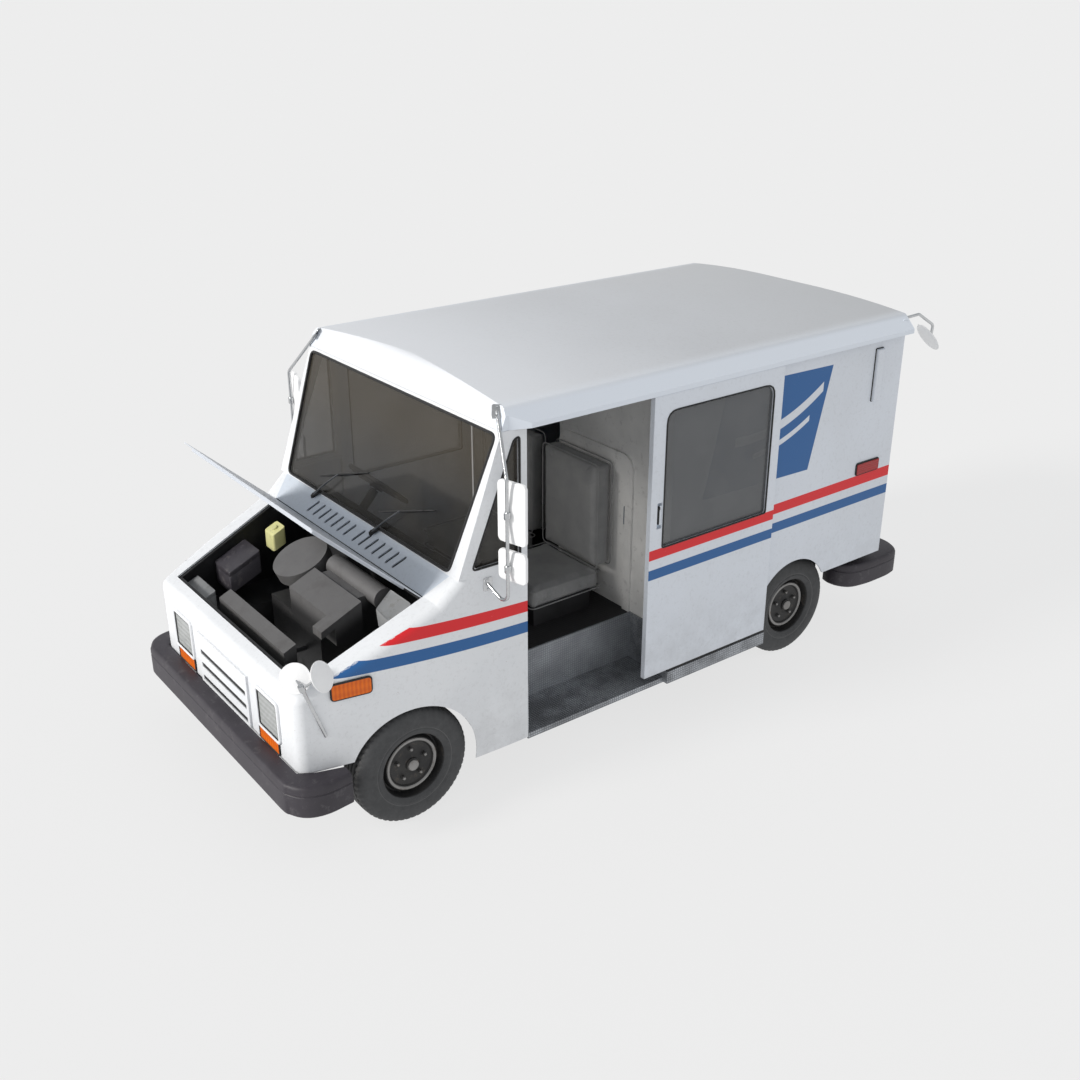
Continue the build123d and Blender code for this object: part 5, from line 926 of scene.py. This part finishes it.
def inflate(made):
    # cloth with inner pressure and no gravity, each point held to the cap, then baked into the mesh
    remesh = made.modifiers.new("remesh", "REMESH")
    remesh.mode, remesh.voxel_size = "VOXEL", seat["voxel"]
    graph = bpy.context.evaluated_depsgraph_get()
    mesh = bpy.data.meshes.new_from_object(made.evaluated_get(graph))
    made.modifiers.clear()
    made.data = mesh
    count = len(mesh.vertices)
    rest = np.zeros(count * 3)
    mesh.vertices.foreach_get("co", rest)
    cloth = made.modifiers.new("cloth", "CLOTH")
    cloth.settings.use_pressure = True
    cloth.settings.uniform_pressure_force = seat["pressure"]
    cloth.settings.effector_weights.gravity = 0.0
    cloth.settings.quality = 4
    cloth.point_cache.frame_end = seat["frames"]
    for step in range(1, seat["frames"] + 1):
        scene.frame_set(step)
    graph = bpy.context.evaluated_depsgraph_get()
    puffed = np.zeros(count * 3)
    made.evaluated_get(graph).data.vertices.foreach_get("co", puffed)
    made.modifiers.clear()
    scene.frame_set(1)
    move = (puffed - rest).reshape(-1, 3)
    far = np.linalg.norm(move, axis=1, keepdims=True)
    move *= np.minimum(1.0, seat["cap"] / np.maximum(far, 1e-9))
    mesh.vertices.foreach_set("co", (rest.reshape(-1, 3) + move).ravel())
    mesh.shade_smooth()
    mesh.update()


def makeSeats():
    for part in ("cushion", "back"):
        verts, faces = padShape(seat[part])
        mesh = bpy.data.meshes.new(part)
        mesh.from_pydata(verts.tolist(), [], faces)
        mesh.materials.append(seatCover)
        side = bpy.data.objects.new("side" + part.capitalize(), mesh)
        scene.collection.objects.link(side)
        inflate(side)
        if not side.data.materials:
            side.data.materials.append(seatCover)
        driver = bpy.data.objects.new("driver" + part.capitalize(), side.data.copy())
        scene.collection.objects.link(driver)
        co = np.zeros(len(driver.data.vertices) * 3)
        driver.data.vertices.foreach_get("co", co)
        driver.data.vertices.foreach_set("co", (co.reshape(-1, 3) + (seat["driverShift"], 0, 0)).ravel())
        for made, body, node in ((side, "truck_body", "side_seat_cushions"),
                                 (driver, "driver_seat", "driver_seat_cushions")):
            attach(made, body)
            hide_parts(node)
    for who, shift, body in (("side", 0.0, "truck_body"), ("driver", seat["driverShift"], "driver_seat")):
        piping = []
        (x0, x1), (s0, s1), (z0, z1) = seat["cushion"]
        for z in (z1 - 0.012, z0 + 0.012):
            path = np.column_stack([roundedRect(x1 - x0 - 0.006, s1 - s0 - 0.006,
                                                0.03) + ((x0 + x1) / 2 + shift, at((s0 + s1) / 2)),
                                    np.full(20, z)])
            piping.append(cord(path, 0.0035, (0, 0, 1)))
        (x0, x1), (s0, s1), (z0, z1) = seat["back"]
        for s in (s0 + 0.012, s1 - 0.012):
            flat = roundedRect(x1 - x0 - 0.006, z1 - z0 - 0.006, 0.03) + ((x0 + x1) / 2 + shift,
                                                                          (z0 + z1) / 2)
            path = np.column_stack([flat[:, 0], np.full(20, at(s)), flat[:, 1]])
            piping.append(cord(path, 0.0035, (0, 1, 0)))
        build(who + "Piping", piping, seatCover, body, 60)


makeSeats()
print("seats done")

# grille slots and the vent's rim
grille = {"half": 0.272, "slots": (0.662, 0.584, 0.506), "height": 0.026, "depth": -0.5865}
vent = {"stations": (3.246, 3.306), "heights": (1.625, 1.942), "x": shell["side"]}
shadows = [slab(roundedRect(2 * grille["half"], grille["height"], 0.003), (0, at(grille["depth"]), z),
                (0, -1, 0), 0.004)
           for z in grille["slots"]]
build("grilleShadows", shadows, bayBlack, "truck_body")
rims = []
for side in (1, -1):
    (s0, s1), (z0, z1) = vent["stations"], vent["heights"]
    path = rimPath(s1 - s0 + 0.006, z1 - z0 + 0.006, 0.006,
                   (side * vent["x"], at((s0 + s1) / 2), (z0 + z1) / 2), (side, 0, 0), 0.001)
    rims.append(cord(path, 0.0035, (side, 0, 0)))
build("ventRims", rims, rubberBlack, "truck_body", 45)

# bumpers: one skin round each, with a rolled top edge and a moulded crease under it
frontBumper = {"outer": ((0, -0.686), (0.45, -0.686), (0.79, -0.686), (0.858, -0.671), (0.915, -0.635),
                         (0.950, -0.580), (0.9645, -0.50), (0.953, -0.378)),
               "inner": ((0.885, -0.378), (0.840, -0.520), (0.795, -0.590), (0.45, -0.592), (0, -0.592)),
               "low": 0.295, "top": 0.472}
rearBumper = {"outer": ((0, 3.788), (0.45, 3.788), (0.72, 3.788), (0.84, 3.775), (0.93, 3.72),
                        (0.957, 3.64), (0.962, 3.52), (0.957, 3.40), (0.931, 3.287), (0.870, 3.232),
                        (0.800, 3.217), (0.745, 3.229)),
              "inner": ((0.746, 3.299), (0.848, 3.331), (0.838, 3.488), (0.715, 3.530), (0.45, 3.530),
                        (0, 3.530)), "low": 0.345, "top": 0.508}
bumperEdge = ((0.0, 0.020), (0.004, 0.008), (0.013, 0.0), (-0.058, 0.0), (-0.054, 0.0035), (-0.049, 0.0035),
              (-0.045, 0.0),
              (-0.019, 0.001), (-0.009, 0.005), (-0.003, 0.012), (0.0, 0.022))


def bumperSkin(name, shape, node):
    # the plan's outer curve moves inwards by a rolled edge at each height, its inner side stays put
    outer = smoothPath([(*p, 0) for p in shape["outer"]], 5)[:, :2]
    lows, highs = np.min(shape["outer"], 0), np.max(shape["outer"], 0)
    outer = np.clip(outer, lows, highs)
    inner = np.array(shape["inner"])
    run = np.gradient(outer, axis=0)
    run /= np.linalg.norm(run, axis=1, keepdims=True)
    front = shape["outer"][0][1] < shape["inner"][-1][1]
    inward = np.stack([-run[:, 1], run[:, 0]], -1) * (1 if front else -1)
    inward[0] = (0, 1 if front else -1)
    rings = []
    for i, (lift, inset) in enumerate(bumperEdge):
        z = shape["low"] + lift if i < 3 else shape["top"] + lift
        half = np.concatenate([outer + inward * inset, inner])
        other = half[::-1][1:-1] * (-1, 1)
        loop = np.concatenate([half, other])
        rings.append(np.column_stack([loop[:, 0], at(loop[:, 1]), np.full(len(loop), z)]))
    build(name, [loft(rings)], bumperPlastic, "truck_body", 38, [node])


bumperSkin("frontBumperSkin", frontBumper, "front_bumper")
bumperSkin("rearBumperSkin", rearBumper, "rear_bumper")
print("bumpers done")

# engine bay: battery, fluid tank and boxes under the hood line
bay = {"battery": ((-0.735, -0.535), (-0.283, -0.090), 0.13),
       "tank": ((-0.690, -0.580), (0.014, 0.096), 0.10),
       "box": ((-0.718, -0.472), (-0.470, -0.397), 0.16), "shelf": 0.709}
tankPlastic = plain("tankPlastic", (0.62, 0.60, 0.27), (0.80, 0.78, 0.42), 0.4, 0.0, 130.0, 0.0003,
                    (0.30, 0.28, 0.16), Coat_Weight=0.2)
boxGrey = plain("boxGrey", (0.22, 0.225, 0.228), (0.34, 0.345, 0.35), 0.5, 0.1, 190.0, 0.0003,
                (0.16, 0.15, 0.14))
batteryCase = plain("batteryCase", (0.030, 0.027, 0.033), (0.065, 0.060, 0.070), 0.45, 0.0, 230.0, 0.0002,
                    (0.11, 0.10, 0.10))


def hoodAt(station):
    fall = (hoodLine["station"] - station) * tan(radians(hoodLine["slope"]))
    return hoodLine["height"] - fall - hoodLine["under"]


def slopedBox(xs, stations, tall, radius, lid=0.0):
    # a rounded box on the shelf whose top follows the slope of the hood, with an optional lid line
    (x0, x1), (s0, s1) = xs, stations
    flat = roundedRect(x1 - x0, s1 - s0, radius)
    centre = ((x0 + x1) / 2, (s0 + s1) / 2)
    top = hoodAt(flat[:, 1] + centre[1])
    rows = [(-tall, 1.0), (-0.006 - lid, 1.0)]
    rows += [(-lid - 0.003, 0.985), (-lid, 0.985), (-lid + 0.003, 1.0)] if lid else []
    rows += [(-0.004, 1.0), (-0.001, 0.985), (0.0, 0.96)]
    rings = [np.column_stack([flat[:, 0] * k + centre[0], at(flat[:, 1] * k + centre[1]),
                              np.maximum(top + d, bay["shelf"])]) for d, k in rows]
    return loft(rings)


def makeBay():
    battery = slopedBox(*bay["battery"], 0.010, 0.028)
    (x0, x1), (s0, s1), tall = bay["battery"]
    n = (0, -sin(radians(hoodLine["slope"])), cos(radians(hoodLine["slope"])))
    posts = []
    for k in (0.22, 0.5, 0.78):
        s = s0 + (s1 - s0) * k
        posts.append(turned([(0.0, -0.004), (0.012, -0.004), (0.0135, -0.006), (0.0135, -0.012),
                             (0.0, -0.012)],
                            (x0 + 0.05, at(s), hoodAt(s) + 0.006), n, 18))
    build("battery", [battery] + posts, batteryCase, "truck_body", 35, ["battery_and_tanks"])
    tank = [slopedBox(*bay["tank"], 0.014)]
    s = sum(bay["tank"][1]) / 2
    tank.append(turned([(0.0, 0.010), (0.016, 0.010), (0.019, 0.007), (0.019, -0.002), (0.0, -0.002)],
                       (sum(bay["tank"][0]) / 2, at(s), hoodAt(s)), n, 20))
    build("fluidTank", tank, tankPlastic, "truck_body", 40)
    build("relayBox", [slopedBox(*bay["box"], 0.008, 0.022)], boxGrey, "truck_body", 35)


makeBay()
duct = {"plan": ((0.555, 0.020), (0.690, 0.006), (0.735, 0.100), (0.700, 0.142), (0.500, 0.142)),
        "tall": 0.085, "edge": 0.006}


def makeDuct():
    # a wedge under the hood line: its plan polygon rounded, its floor level, its top sloped with the hood
    plan = roundedLoop(duct["plan"], 0.010)
    middle = plan.mean(0)
    top = hoodAt(plan[:, 1])
    rows = [(0.0, 0.86, True), (0.0, 0.97, False), (-duct["edge"], 1.0, False)]
    floor = np.full(len(plan), top.min() - duct["tall"])
    small = middle + (plan - middle) * 0.92
    rings = [np.column_stack([small[:, 0], at(small[:, 1]), floor])]
    for drop, k, dish in rows[::-1]:
        flat = middle + (plan - middle) * k
        rings.append(np.column_stack([flat[:, 0], at(flat[:, 1]),
                                      hoodAt(flat[:, 1]) + drop - (0.004 if dish else 0.0)]))
    build("intakeDuct", [loft(rings)], boxGrey, "truck_body", 30)


makeDuct()
cowl = {"foot": (0.153, 1.191), "head": (0.267, 1.294), "groups": ((-0.232, 0.520), (0.277, 0.520)),
        "under": 0.012, "run": 0.105}
rise = np.array(cowl["head"]) - cowl["foot"]
normal = (0, -rise[1], rise[0])
middle = (np.array(cowl["foot"]) + cowl["head"]) / 2
unit = np.array(normal) / np.linalg.norm(normal)
strips = [slab(roundedRect(width, cowl["run"], 0.004),
               np.array((x, at(middle[0]), middle[1])) - unit * cowl["under"], normal, 0.003)
          for x, width in cowl["groups"]]
build("cowlShadows", strips, bayBlack, "truck_body")
strikeSteel = plain("strikeSteel", (0.10, 0.13, 0.18), (0.16, 0.20, 0.26), 0.4, 0.5, 120.0, 0.0002)
strike = slab(roundedRect(0.050, 0.112, 0.004), (0.586, at(1.645), 1.157), (0, -1, 0), 0.004)
build("strikePlate", [strike], strikeSteel, "truck_body")
print("engine bay done")
